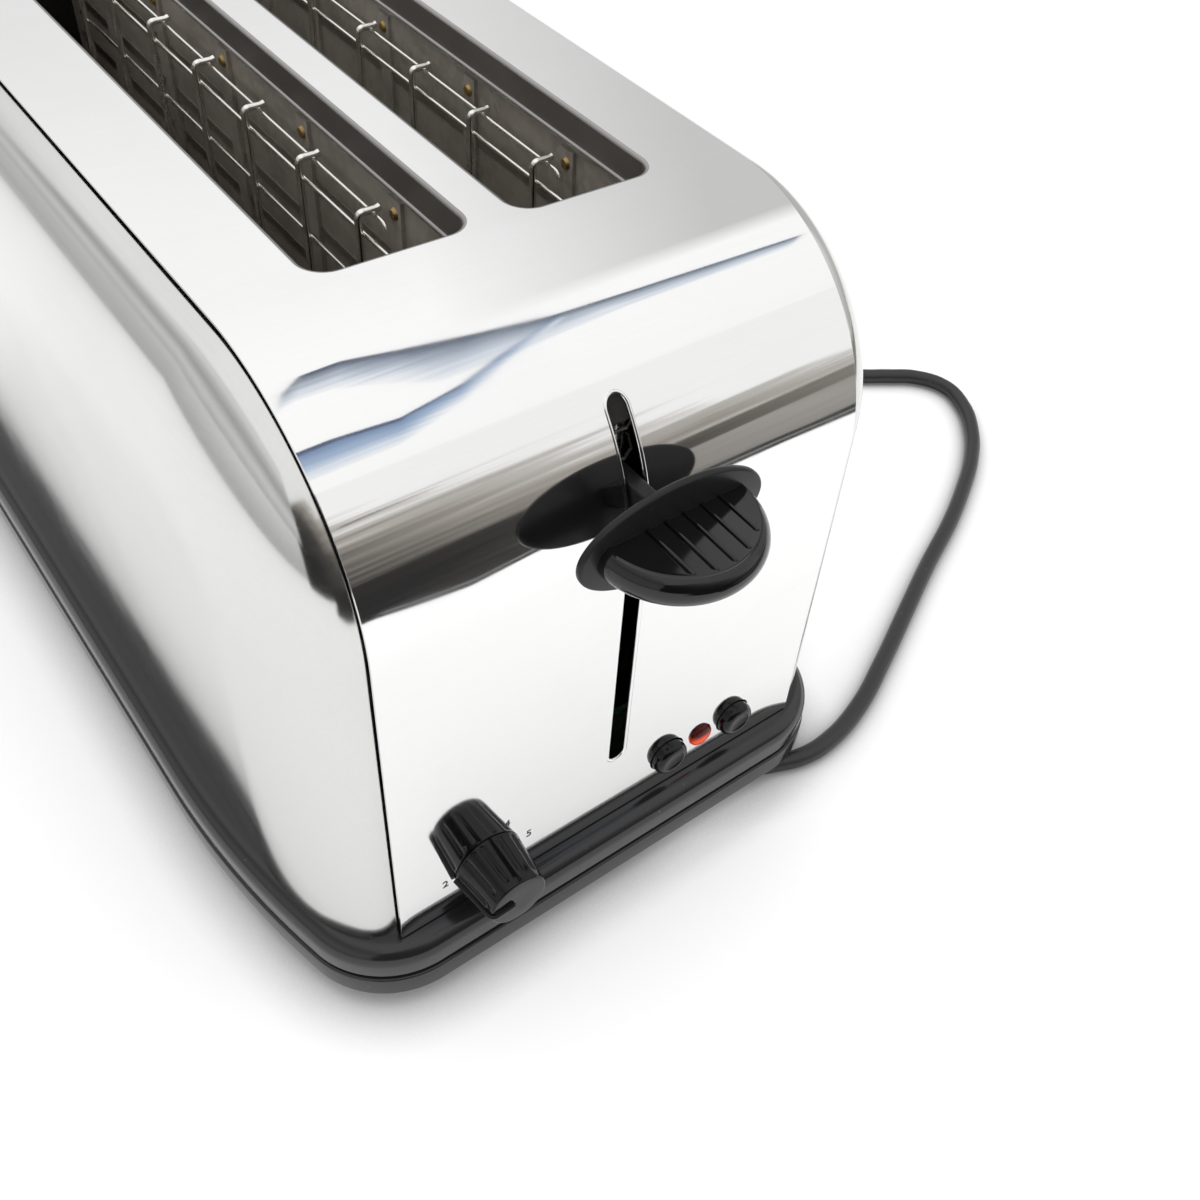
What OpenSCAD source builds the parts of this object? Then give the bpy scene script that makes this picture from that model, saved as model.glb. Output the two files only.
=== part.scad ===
// Long-slot toaster for four slices: polished steel wrap, dished satin side panels, black base,
// sprung bread carriage with a ridged lever, browning dial, two push buttons and a lamp.
// Millimetres. The front panel faces -Y, +Z is up, and z = 0 is the surface that it stands on.

/* [Bread slots] */
// Length of each bread slot
slot_l = 266; // [240:1:290]
// Width of each bread slot
slot_w = 39; // [35:0.5:42]
// Steel strip left between the two slots
slot_gap = 12.5; // [12:0.5:18]
// Corner radius of the slots
slot_r = 6; // [3:0.5:9]
// Depth of the turned-down lip round each slot
lip_h = 9.5; // [6:0.5:11]

/* [Body] */
// From each end panel to the end of the bread slots
end_space = 59; // [57:1:70]
// From the outer edge of a slot to the side seam
slot_side = 23.75; // [22:0.25:30]
// Height of the steel body above the base ledge
body_h = 164; // [158:1:180]
// Radius of the curve between each end panel and the top
end_r = 55; // [48:1:56]
// Sheet thickness of the wrap and of the slot lips
wrap_t = 0.8; // [0.6:0.1:1.2]
// How far each side panel bulges out past its seam
side_bulge = 18; // [12:0.5:22]
// How far in from the seam the rolled edge of a side panel reaches
side_roll = 40; // [30:1:44]
// Sheet thickness of the side panels
side_t = 0.8; // [0.6:0.1:1.2]

/* [Base] */
// Height of the base rim, from its lower edge to the ledge
base_h = 20; // [19:0.5:24]
// How far the base stands out past the front panel
base_front_over = 7; // [6:0.5:9]
// How far the base stands out past the rear panel, where it houses the tray's handle
base_rear_over = 12.5; // [11:0.5:15]
// How far the base stands out past each side panel
base_side_over = 10; // [8:0.5:14]
// Plan corner radius of the base
base_corner_r = 42; // [36:1:46]
// Radius of the rim's upper edge
rim_r = 5.5; // [4:0.5:6.5]
// Wall of the base moulding
base_wall = 2.5; // [2:0.1:3]
// Width of the ledge that carries the body, measured in from the rim
deck_w = 15.5; // [15:0.5:16.5]
// How far the parting groove lies below the ledge
groove_drop = 11; // [9:0.5:13]
// Depth of the parting groove
groove_deep = 1.4; // [0.8:0.1:1.8]
// Height of the rim's lower edge above the table
foot_h = 7; // [6.5:0.5:12]
// Diameter of the rubber feet
foot_d = 18; // [14:1:24]

/* [Lever] */
// From the top of the body down to the lever at rest
lever_drop = 40; // [38:1:46]
// Lowest height of the lever above the ledge
lever_low = 36; // [34:1:40]
// Extra lift that raises small slices
lever_lift = 14; // [8:1:15]
// How far the lever stands out from the front panel
lever_reach = 32.5; // [28:0.5:40]
// Distance from the front panel to the oval flange
flange_gap = 9.5; // [7:0.5:12]
// Width of the oval flange
flange_w = 51; // [44:1:60]
// Height of the oval flange
flange_h = 26; // [20:1:32]
// Thickness of the oval flange
flange_t = 2; // [1.5:0.1:3]
// Thickness of the thumb paddle
thumb_t = 9; // [8:0.5:12]
// Thickness of the steel lever arm
arm_t = 4; // [3:0.1:4.5]
// Height of the steel lever arm
arm_h = 7; // [5:0.5:8]
// Width of the slot that the arm runs in
lever_slot_w = 5.4; // [5:0.1:7]

/* [Controls] */
// Height of the dial, lamp and buttons above the ledge
control_z = 14.2; // [13:0.1:16]
// How far the dial lies to the left of the middle
dial_x = 42; // [38:0.5:46]
// Diameter of the dial at the panel
dial_d = 21; // [18:0.5:24]
// Diameter of the dial at its front face
dial_front_d = 17; // [14:0.5:18]
// Length of the dial
dial_l = 15; // [12:0.5:20]
// Diameter of the dial shaft
shaft_d = 6; // [5:0.1:7]
// How far the left button lies to the right of the middle
button_x = 19.5; // [17:0.5:22]
// Distance between the two buttons
button_pitch = 25; // [22:0.5:28]
// Diameter of a button
button_d = 11.5; // [9:0.5:12]
// How far a button stands out of the panel
button_out = 3.6; // [3:0.1:6]
// Travel of a button
button_travel = 2; // [1:0.1:2.5]
// Diameter of the red lens
lens_d = 8; // [6:0.5:8.5]

/* [Toasting gear] */
// From the middle of a slot to a bread guide at rest
guide_open = 11.75; // [11.5:0.25:12.5]
// Diameter of the bread guide wires
guide_d = 2; // [1.6:0.1:2.4]
// Distance between the upright wires of a guide
guide_pitch = 31; // [26:1:36]
// Distance between the long wires of a guide
guide_row = 17; // [14:0.5:22]
// From the middle of a slot to its heater boards
board_reach = 21.25; // [21:0.05:22]
// Thickness of the mica heater boards
mica_t = 1; // [0.6:0.1:1.2]
// Thickness of the inner steel plates
plate_t = 1; // [0.8:0.1:1.5]
// Diameter of the carriage guide rods
rod_d = 5; // [4:0.1:6]
// From the middle to each guide rod
rod_x = 22; // [21:0.5:24]
// Height of the carriage slider
slider_h = 18; // [16:0.5:20]
// Wire of the return springs
spring_wire = 1; // [0.8:0.1:1.2]
// Turns of each return spring
spring_turns = 12; // [8:1:16]
// Depth of the crumb tray
tray_h = 9; // [7:0.5:11]

/* [Mains lead] */
// Diameter of the mains lead
cord_d = 6.2; // [5:0.1:6.4]
// Radius of the outer turn of the coil
coil_r = 38; // [36:0.5:44]
// Turns in each of the coil's two layers
coil_turns = 1.25; // [1.25:1:3.25]
// Gap between neighbouring turns
coil_gap = 0.5; // [0.45:0.05:0.8]

/* [Hidden] */
$fn = 64;
tau = 360;
// Running clearance of a shaft or rod in its bore
run_gap = 0.05;
// Clearance between pieces that pass or slide by each other
pass_gap = 0.4;
// How far a cut runs past the face that it opens, and how far joined shapes reach into each other
over = 1;
sink = 0.5;
body_l = slot_l + 2 * end_space;
wrap_w = 2 * slot_w + slot_gap + 2 * slot_side;
slot_cx = (slot_gap + slot_w) / 2;
base_hx = wrap_w / 2 + side_bulge + base_side_over;
base_hy = (body_l + base_front_over + base_rear_over) / 2;
// The part's middle lies half way between the lever's tip and the rear of the base
front_y = lever_reach - (body_l + lever_reach + base_rear_over) / 2;
rear_y = front_y + body_l;
mid_y = (front_y + rear_y) / 2;
base_mid_y = mid_y + (base_rear_over - base_front_over) / 2;
ledge_z = foot_h + base_h;
top_z = ledge_z + body_h;
// The floor of the base lies a little above the rim's lower edge
floor_rise = 1.5;
floor_under_z = foot_h + floor_rise;
floor_z = floor_under_z + base_wall;
deck_z = ledge_z - base_wall;

// Rest height, lowest height and travel of the lever
lever_z = top_z - lever_drop;
lever_low_z = ledge_z + lever_low;
lever_fall = lever_z - lever_low_z;
slot_end_room = 5.5;
slot_top_room = 3.4;
lever_slot_low_z = lever_low_z - arm_h / 2 - slot_end_room;
lever_slot_high_z = lever_z + lever_lift + arm_h / 2 + slot_top_room;

// Plates that close the toasting chamber
chamber_end = 5;
lip_gap = 2;
reflector_gap = 4;
tray_side_gap = 3;
rail_gap = 0.6;
tray_lift = 0.3;
tray_over = 1.5;
chamber_lift = 8;
board_drop = 10;
front_plate_y = front_y + end_space - chamber_end;
rear_plate_y = rear_y - end_space + chamber_end;
plate_top_z = top_z - lip_h - lip_gap;
reflector_x = slot_cx + board_reach + mica_t + reflector_gap;
tray_hx = reflector_x + plate_t + tray_side_gap;
rail_t = 1.5;
leg_x = tray_hx + pass_gap + rail_t + rail_gap;
leg_w = 6;
plate_hx = leg_x + leg_w;
tray_top_z = floor_z + tray_lift + tray_h;
plate_low_z = tray_top_z + tray_over;
chamber_low_z = ledge_z + chamber_lift;
board_top_z = top_z - board_drop;

// Heater strips, ribbons and rivets
strip_n = 5;
strip_pitch = 48;
strip_w = 6;
strip_t = 1.1;
strip_edge = 2;
ribbon_t = 0.4;
ribbon_w = 3;
ribbon_n = 9;
ribbon_edge = 12;
ribbon_head = 8;
ribbon_end = 6;
ribbon_pitch = (board_top_z - ribbon_head - chamber_low_z - 2 * ribbon_edge) / (ribbon_n - 1);
rivet_d = 3.6;
rivet_top_d = 2.52;
rivet_t = 0.8;
rivet_drop = 6;

// Bread guides
guide_r = guide_d / 2;
guide_wall = 6;
guide_bend = 3;
guide_hook_drop = 15;
guide_row_drop = 21;
guide_lift = 4;
guide_low_tail = 8;
guide_row_over = 8;
guide_end_room = 35;
guide_row_d = guide_d * 0.9;
guide_hook_in = guide_r * 1.4;
guide_hook_z = top_z - guide_hook_drop;
guide_row_top_z = top_z - guide_row_drop;
guide_low_z = chamber_low_z + guide_lift;
guide_rows = floor((guide_row_top_z - guide_low_z - guide_low_tail) / guide_row) + 1;
guide_row_low_z = guide_row_top_z - (guide_rows - 1) * guide_row;
guide_n = floor((slot_l - 2 * guide_end_room) / (2 * guide_pitch)) * 2 + 1;
guide_row_x = guide_r * 1.5;
guide_close = 5;
guide_over = 0.9;
guide_tail = 4;

// Bread racks
rack_drop = 24;
rack_t = 1.5;
rack_h = 9;
rack_bar_d = 2;
rack_bar_l = 10;
rack_post = 7;
rack_foot_hx = 5;
rack_room = 3;
rack_top_z = lever_z - rack_drop;

// Carriage, rods and latch magnet
slider_d = 10;
slider_back = 16;
slider_side = 8;
slider_y = front_plate_y - slider_back;
slider_hx = slot_cx + slider_side;
slider_back_y = slider_y + slider_d / 2;
boss_d = 10;
boss_h = 7;
bracket_room = 2;
bracket_z = lever_z + lever_lift + slider_h / 2 + bracket_room;
bracket_t = 2;
bracket_front = 7;
bracket_side = 8;
keeper_t = 4;
keeper_hx = 12;
keeper_edge = 1;
magnet_top_z = lever_low_z - slider_h / 2 - keeper_t - pass_gap;
magnet_leg_x = 7.5;
magnet_leg_w = 6;
magnet_d = 8;
magnet_yoke_h = 6;
magnet_wind = 2.8;
magnet_pole = 3;
spring_room = 1.4;
spring_r = rod_d / 2 + spring_room + spring_wire / 2;
spring_low_z = floor_z + boss_h;
spring_high_z = lever_z - slider_h / 2;

// Control board and what sits on it
board_back = 14;
board_y = front_y + board_back;
board_t = 1.6;
board_hx = 62;
board_arm_gap = 8;
board_high_z = lever_low_z - arm_h / 2 - board_arm_gap;
control_h = ledge_z + control_z;
pot_d = 16;
pot_l = 7;
pot_bush_wall = 1;
pot_bush_d = shaft_d + 2 * pot_bush_wall;
shaft_back = 3;
switch_w = 6;
switch_l = 6;
switch_body_l = 4;
relay_low = [-34, 10];
relay_size = [18, 13, 18];
chip_low = [6, 14];
chip_size = [16, 3, 8];
lamp_d = 5;
lamp_l = 7;
terminal_low = [-14, -3];
terminal_size = [20, 13, 10];
terminal_hole_d = 4;
terminal_hole_floor = 3;
terminal_hole_pitch = 10;
lens_x = button_x + button_pitch / 2;
button_lip = 1.2;
button_stem_d = 4;
button_lip_over = 1.5;
button_stem_gap = 0.3;
dial_gap = 0.6;
dial_bore_l = dial_l * 0.7;

// Crumb tray
tray_end_gap = 4;
tray_behind = 8;
tray_front_y = front_plate_y + tray_end_gap;
tray_back_y = rear_y + tray_behind;
tray_t = 1;
tray_handle_t = 3;

// Pocket under the front right corner where the mains lead leaves, and its bush
pocket_x = 14;
pocket_l = 50;
pocket_rim_gap = 3;
pocket_behind = 8;
pocket_front_y = front_y - base_front_over + pocket_rim_gap;
pocket_back_y = front_y + pocket_behind;
gland_behind = 2;
gland_y = front_y + gland_behind;
gland_z = 15;
gland_end_x = 31;
gland_flange_t = 2;
gland_flange_d = 7.6;
gland_collar = 1;
gland_bore_d = cord_d + 1;
gland_sleeve_d = cord_d + 3.4;

// Route of the mains lead on the table: out of its bush, down under the rim and away to the coil
cord_r = cord_d / 2;
cord_route = [
    [31, -180, 15], [36, -180, 14.6], [43, -180.3, 12], [51, -181.3, 7.6], [59, -182.7, 4.2],
    [67, -185.6, 3.2], [76, -188.6, 3.2], [88, -188.8, 3.2], [107, -184, 3.2], [127, -175, 3.2],
    [152, -162.5, 3.2], [179, -149, 3.2], [204, -137.5, 3.2], [225, -126, 3.2], [242, -115, 3.2],
    [256, -102.5, 3.2], [266, -88, 3.2], [269, -75, 3.2], [263, -63, 3.2], [252, -55, 3.2],
    [241, -48, 3.2], [231.5, -38, 3.4], [225.5, -25, 3.9], [223.2, -10, 4.4], [223, 4, 4.5], [223, 18, 4.5]
];
cord_sides = 12;
// The coil lies to the right of the body, with one straight diameter at each end
coil_x = 185;
coil_y = 25;
coil_z = 4.5;
coil_sides = 6;
coil_steps = 24;
coil_pitch = cord_d + coil_gap;
coil_lead = 7;
coil_tail = 30;
coil_end = coil_y + coil_tail;
// The plug lies just past the coil's upper end, on the same line
plug_x = coil_x + coil_r;
plug_z = coil_z + coil_pitch;
plug_sleeve_l = 24;
plug_sleeve_d = [8.2, 14.2];
plug_l = 34;
plug_w = 36;
plug_h = 22;
plug_pin_d = 4.8;
plug_pin_l = 19;
plug_pin_pitch = 19;
plug_y = coil_end + plug_sleeve_l;
tie_w = 8;
tie_t = 1;
tie_room = 0.6;
tie_under = 0.3;

// Rounded rectangle with its middle at [0, base_mid_y], drawn in by inset from the base outline
module plan(inset) {
    hx = base_hx - inset;
    hy = base_hy - inset;
    r = max(base_corner_r - inset, 2);
    translate([0, base_mid_y]) {
        square([2 * hx - 2 * r, 2 * hy], center = true);
        square([2 * hx, 2 * hy - 2 * r], center = true);
        for (sx = [-1, 1], sy = [-1, 1])
            translate([sx * (hx - r), sy * (hy - r)])
                circle(r);
    }
}

// Sweeps an outline of [distance out, height] points round the base, out being negative inwards
module rim_sweep(outline) {
    r = base_corner_r;
    side_l = 2 * (base_hy - r);
    end_l = 2 * (base_hx - r);
    for (s = [0, 1])
        translate([0, base_mid_y, 0])
            rotate([0, 0, 180 * s]) {
                translate([base_hx, side_l / 2, 0])
                    rotate([90, 0, 0])
                        linear_extrude(side_l)
                            polygon(outline);
                translate([-end_l / 2, base_hy, 0])
                    rotate([90, 0, 90])
                        linear_extrude(end_l)
                            polygon(outline);
                translate([end_l / 2, side_l / 2, 0])
                    rotate_extrude(angle = 90)
                        polygon([for (p = outline) [r + p[0], p[1]]]);
                translate([end_l / 2, -side_l / 2, 0])
                    rotate([0, 0, -90])
                        rotate_extrude(angle = 90)
                            polygon([for (p = outline) [r + p[0], p[1]]]);
            }
}

// Round bar along +Y that starts at y
module bar_y(x, y, z, d, l) {
    translate([x, y, z])
        rotate([-90, 0, 0])
            cylinder(h = l, d = d);
}

// Block between two corners
module block(low, high) {
    translate(low)
        cube(high - low);
}

// Outline of the body seen from the side, drawn in by inset, as [y, z]
module body_side(inset) {
    r = end_r - inset;
    y0 = front_y + inset;
    l = body_l - 2 * inset;
    h = body_h - inset;
    translate([y0, ledge_z])
        square([l, h - r]);
    translate([y0 + r, ledge_z])
        square([l - 2 * r, h]);
    for (y = [front_y + end_r, rear_y - end_r])
        translate([y, top_z - end_r])
            circle(r);
}

// Outline of one bread slot, grown by extra
module slot_plan(side, extra) {
    hx = slot_w / 2 + extra;
    hy = slot_l / 2 + extra;
    r = slot_r + extra;
    translate([side * slot_cx, mid_y]) {
        square([2 * hx - 2 * r, 2 * hy], center = true);
        square([2 * hx, 2 * hy - 2 * r], center = true);
        for (sx = [-1, 1], sy = [-1, 1])
            translate([sx * (hx - r), sy * (hy - r)])
                circle(r);
    }
}

// Positions of the four feet, in from the side and the end of the base
foot_in = [26, 40];
foot_spots = [for (sx = [-1, 1], sy = [-1, 1])
    [sx * (base_hx - foot_in[0]), base_mid_y + sy * (base_hy - foot_in[1])]];
foot_edge = 1.5;
// Tabs that the two plates stand on, and the screws in their middles
tab_d = 10;
screw_spots = [for (sx = [-1, 1], y = [front_plate_y - tab_d / 2, rear_plate_y + tab_d / 2])
    [sx * (leg_x + leg_w / 2), y]];
screw_d = 3.5;
screw_head_d = 6.5;
screw_head_h = 2;
screw_grip = 5;
screw_cross = [4, 0.8, 1];

// Outline of the rim as [distance out, height]: lower band, parting groove and rounded upper band
rim_depth = 8;
rim_chamfer = 1.5;
rim_set = 0.4;
rim_step = 10;
rim_outline = concat(
    [[-rim_depth, foot_h], [-rim_chamfer, foot_h], [0, foot_h + rim_chamfer]],
    [[0, ledge_z - groove_drop - groove_deep], [-groove_deep, ledge_z - groove_drop]],
    [[-rim_set, ledge_z - groove_drop + groove_deep]],
    [for (a = [0:rim_step:90]) [-rim_set - rim_r * (1 - cos(a)), ledge_z - rim_r * (1 - sin(a))]],
    [[-rim_depth, ledge_z]]
);

module base_shell() {
    tray_gap = tray_hx + pass_gap;
    color([0.03, 0.03, 0.035])
        difference() {
            union() {
                difference() {
                    union() {
                        rim_sweep(rim_outline);
                        translate([0, 0, foot_h])
                            linear_extrude(base_h)
                                plan(rim_depth - sink);
                    }
                    translate([0, 0, foot_h - over])
                        linear_extrude(floor_rise + over)
                            plan(base_wall);
                    translate([0, 0, floor_z])
                        linear_extrude(deck_z - floor_z)
                            plan(base_wall);
                    translate([0, 0, deck_z - over])
                        linear_extrude(base_wall + 2 * over)
                            plan(deck_w);
                }
                for (sx = [-1, 1])
                    translate([sx * rod_x, slider_y, floor_z - sink])
                        cylinder(h = boss_h + sink, d = boss_d);
                for (sx = [-1, 1])
                    translate([sx * (tray_gap + rail_t / 2) - rail_t / 2, tray_front_y, floor_z - sink])
                        cube([rail_t, rear_y - tray_front_y, tray_h]);
                block([pocket_x - base_wall, pocket_front_y - over, floor_under_z],
                      [pocket_x + pocket_l + base_wall, pocket_back_y + base_wall, deck_z + sink]);
            }
            for (sx = [-1, 1])
                translate([sx * rod_x, slider_y, floor_z])
                    cylinder(h = boss_h + over, d = rod_d);
            block([-tray_gap, rear_y - deck_w, floor_z],
                  [tray_gap, rear_y + base_rear_over + over, tray_top_z + over]);
            block([pocket_x, pocket_front_y, foot_h - over],
                  [pocket_x + pocket_l, pocket_back_y, deck_z - base_wall]);
            translate([pocket_x - base_wall - over, gland_y, gland_z])
                rotate([0, 90, 0])
                    cylinder(h = base_wall + 2 * over, d = gland_bore_d);
            for (p = screw_spots)
                translate([p[0], p[1], floor_under_z - over])
                    cylinder(h = base_wall + 2 * over, d = screw_d + 2 * run_gap);
        }
}

module rubber_feet() {
    color([0.06, 0.06, 0.06])
        for (p = foot_spots)
            translate([p[0], p[1], 0])
                rotate_extrude()
                    polygon([[0, 0], [foot_d / 2 - foot_edge, 0], [foot_d / 2, foot_edge],
                             [foot_d / 2, floor_under_z], [0, floor_under_z]]);
}

module base_screws() {
    color([0.7, 0.7, 0.72])
        for (p = screw_spots)
            translate([p[0], p[1], floor_under_z - screw_head_h])
                difference() {
                    union() {
                        cylinder(h = screw_head_h, d = screw_head_d);
                        cylinder(h = base_wall + plate_t + screw_grip, d = screw_d);
                    }
                    for (a = [0, 90])
                        rotate([0, 0, a])
                            cube([screw_cross[0], screw_cross[1], 2 * screw_cross[2]], center = true);
                }
}

module body_wrap() {
    color([0.82, 0.83, 0.85])
        difference() {
            union() {
                difference() {
                    translate([-wrap_w / 2, 0, 0])
                        rotate([90, 0, 90])
                            linear_extrude(wrap_w)
                                difference() {
                                    body_side(0);
                                    translate([0, -wrap_t])
                                        body_side(wrap_t);
                                    body_side(wrap_t);
                                }
                    for (side = [-1, 1])
                        translate([0, 0, top_z - wrap_t - over])
                            linear_extrude(wrap_t + 2 * over)
                                slot_plan(side, 0);
                }
                for (side = [-1, 1])
                    translate([0, 0, top_z - lip_h])
                        linear_extrude(lip_h - wrap_t / 2)
                            difference() {
                                slot_plan(side, wrap_t);
                                slot_plan(side, 0);
                            }
            }
            block([-lever_slot_w / 2, front_y - over, lever_slot_low_z + lever_slot_w / 2],
                  [lever_slot_w / 2, front_y + end_r / 2, lever_slot_high_z - lever_slot_w / 2]);
            for (z = [lever_slot_low_z + lever_slot_w / 2, lever_slot_high_z - lever_slot_w / 2])
                bar_y(0, front_y - over, z, lever_slot_w, end_r / 2 + over);
            bar_y(-dial_x, front_y - over, control_h, pot_bush_d + 2 * pass_gap, wrap_t + 2 * over);
            for (x = [button_x, button_x + button_pitch])
                bar_y(x, front_y - over, control_h, button_d + 2 * pass_gap, wrap_t + 2 * over);
            bar_y(lens_x, front_y - over, control_h, lens_d, wrap_t + 2 * over);
        }
}

// Rolled edge of a side panel, drawn in by inset, as [in from the seam, out from the seam]
roll_step = 10;
function roll_edge(inset) = [for (a = [0:roll_step:90])
    [inset + (side_roll - inset) * (1 - cos(a)), (side_bulge - inset) * sin(a)]];

// Solid dome over the right seam, drawn in by inset and run past the seam and the ledge by open
module panel_dome(inset, open) {
    seam_x = wrap_w / 2;
    edge = roll_edge(inset);
    out = side_bulge - inset;
    front = [for (p = edge) [seam_x + p[1], front_y + p[0]]];
    rear = [for (i = [len(edge) - 1:-1:0]) [seam_x + edge[i][1], rear_y - edge[i][0]]];
    translate([0, 0, ledge_z - open])
        linear_extrude(body_h - end_r + open)
            polygon(concat([[seam_x - open, front_y + inset]], front, rear,
                           [[seam_x - open, rear_y - inset]]));
    translate([0, rear_y - end_r, 0])
        rotate([90, 0, 0])
            linear_extrude(body_l - 2 * end_r)
                polygon(concat([[seam_x - open, ledge_z - open], [seam_x - open, top_z - inset]],
                               [for (p = edge) [seam_x + p[1], top_z - p[0]]],
                               [[seam_x + out, ledge_z - open]]));
    for (s = [0, 1])
        translate([seam_x, s == 0 ? front_y + end_r : rear_y - end_r, top_z - end_r])
            mirror([0, s, 0])
                rotate([0, -90, 180])
                    rotate_extrude(angle = 90)
                        polygon(concat([[0, -open], [end_r - inset, -open]],
                                       [for (p = edge) [end_r - p[0], p[1]]], [[0, out]]));
}

module right_panel_solid() {
    difference() {
        panel_dome(0, 0);
        panel_dome(side_t, over);
    }
}

module right_side_panel() {
    color([0.72, 0.72, 0.72])
        right_panel_solid();
}

module left_side_panel() {
    color([0.72, 0.72, 0.72])
        mirror([1, 0, 0])
            right_panel_solid();
}

// Height of the guide wires that run in the plates
guide_run_z = [guide_row_top_z, guide_row_low_z];

// Plate across the chamber: outward is -1 for the front one and 1 for the rear one
module bulkhead(y, outward) {
    rack_gap = rack_t + 2 * pass_gap;
    inner_y = outward < 0 ? y - plate_t : y;
    difference() {
        union() {
            block([-plate_hx, inner_y, plate_low_z], [plate_hx, inner_y + plate_t, plate_top_z]);
            for (sx = [-1, 1]) {
                x = sx > 0 ? leg_x : -leg_x - leg_w;
                block([x, inner_y, floor_z], [x + leg_w, inner_y + plate_t, plate_low_z + over]);
                block([x, min(y, y + outward * tab_d), floor_z],
                      [x + leg_w, max(y, y + outward * tab_d), floor_z + plate_t]);
            }
        }
        for (side = [-1, 1]) {
            block([side * slot_cx - rack_gap / 2, y - plate_t - over,
                   rack_top_z - rack_h - lever_fall - rack_room],
                  [side * slot_cx + rack_gap / 2, y + plate_t + over, rack_top_z + lever_lift + rack_room]);
            for (dir = [-1, 1], z = guide_run_z) {
                far = side * slot_cx + dir * (guide_open + guide_row_x + guide_over + guide_r + pass_gap);
                near = side * slot_cx + dir * (guide_open + guide_row_x - guide_close - guide_r - pass_gap);
                block([min(far, near), y - plate_t - over, z - guide_r - pass_gap],
                      [max(far, near), y + plate_t + over, z + guide_r + pass_gap]);
            }
        }
        for (p = screw_spots)
            translate([p[0], p[1], floor_z - over])
                cylinder(h = plate_t + 2 * over, d = screw_d + 2 * run_gap);
    }
}

module front_bulkhead() {
    color([0.62, 0.62, 0.63])
        bulkhead(front_plate_y, -1);
}

module rear_bulkhead() {
    color([0.62, 0.62, 0.63])
        bulkhead(rear_plate_y, 1);
}

module reflector(side) {
    x0 = side > 0 ? reflector_x : -reflector_x - plate_t;
    block([x0, front_plate_y, plate_low_z], [x0 + plate_t, rear_plate_y, plate_top_z]);
}

module left_reflector() {
    color([0.66, 0.66, 0.67])
        reflector(-1);
}

module right_reflector() {
    color([0.66, 0.66, 0.67])
        reflector(1);
}

// Places along the chamber of the strips that hold the ribbons
strip_y = [for (i = [0:strip_n - 1]) mid_y + (i - (strip_n - 1) / 2) * strip_pitch];
ribbon_z = [for (i = [0:ribbon_n - 1]) chamber_low_z + ribbon_edge + i * ribbon_pitch];

// Puts a heater drawn against the plane x = 0, facing +x, on a board's face
// wall is the side of the slot, as seen from its middle, on which the board stands
module on_board(side, wall) {
    translate([side * slot_cx + wall * board_reach, 0, 0])
        mirror([wall > 0 ? 1 : 0, 0, 0])
            children();
}

module heater_board(side, wall) {
    color([0.55, 0.5, 0.44])
        on_board(side, wall)
            difference() {
                union() {
                    block([-mica_t, front_plate_y, chamber_low_z], [0, rear_plate_y, board_top_z]);
                    for (y = strip_y)
                        block([-mica_t / 2, y - strip_w / 2, chamber_low_z + strip_edge],
                              [strip_t, y + strip_w / 2, board_top_z - strip_edge]);
                }
                for (z = ribbon_z)
                    block([0, front_plate_y - over, z - ribbon_w / 2],
                          [ribbon_t, rear_plate_y + over, z + ribbon_w / 2]);
            }
}

module left_outer_heater_board() {
    heater_board(-1, -1);
}

module left_inner_heater_board() {
    heater_board(-1, 1);
}

module right_inner_heater_board() {
    heater_board(1, -1);
}

module right_outer_heater_board() {
    heater_board(1, 1);
}

module heating_ribbon(side, wall) {
    color([0.5, 0.42, 0.36])
        on_board(side, wall)
            for (z = ribbon_z)
                block([0, front_plate_y + ribbon_end, z - ribbon_w / 2],
                      [ribbon_t, rear_plate_y - ribbon_end, z + ribbon_w / 2]);
}

module left_outer_heating_ribbon() {
    heating_ribbon(-1, -1);
}

module left_inner_heating_ribbon() {
    heating_ribbon(-1, 1);
}

module right_inner_heating_ribbon() {
    heating_ribbon(1, -1);
}

module right_outer_heating_ribbon() {
    heating_ribbon(1, 1);
}

module heater_rivets() {
    color([0.72, 0.55, 0.28])
        for (side = [-1, 1], wall = [-1, 1])
            on_board(side, wall)
                for (y = strip_y, z = [chamber_low_z + rivet_drop, board_top_z - rivet_drop])
                    translate([strip_t, y, z])
                        rotate([0, 90, 0])
                            cylinder(h = rivet_t, d1 = rivet_d, d2 = rivet_top_d);
}

guide_y = [for (i = [0:guide_n - 1]) mid_y + (i - (guide_n - 1) / 2) * guide_pitch];

// Welded wire guide: uprights hooked over a top wire, and long wires on the wall side
module bread_guide(side, wall) {
    bend_z = guide_hook_z - guide_bend;
    row_l = guide_y[guide_n - 1] - guide_y[0] + 2 * guide_row_over;
    run_l = rear_plate_y - front_plate_y + 2 * (plate_t + guide_tail);
    color([0.86, 0.85, 0.83])
        translate([side * slot_cx, 0, 0])
            mirror([wall > 0 ? 0 : 1, 0, 0]) {
                for (y = guide_y) {
                    translate([guide_open, y, guide_low_z])
                        cylinder(h = bend_z - guide_low_z, d = guide_d);
                    translate([guide_open + guide_bend, y, bend_z])
                        rotate([90, 0, 180])
                            rotate_extrude(angle = 90)
                                translate([guide_bend, 0])
                                    circle(d = guide_d);
                    translate([guide_open + guide_bend, y, guide_hook_z])
                        rotate([0, 90, 0])
                            cylinder(h = guide_wall - guide_bend, d = guide_d);
                }
                bar_y(guide_open + guide_wall - guide_hook_in, mid_y - row_l / 2,
                      guide_hook_z - guide_row_x, guide_row_d, row_l);
                for (i = [0:guide_rows - 1]) {
                    l = i == 0 || i == guide_rows - 1 ? run_l : row_l;
                    bar_y(guide_open + guide_row_x, mid_y - l / 2, guide_row_top_z - i * guide_row,
                          guide_row_d, l);
                }
            }
}

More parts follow.
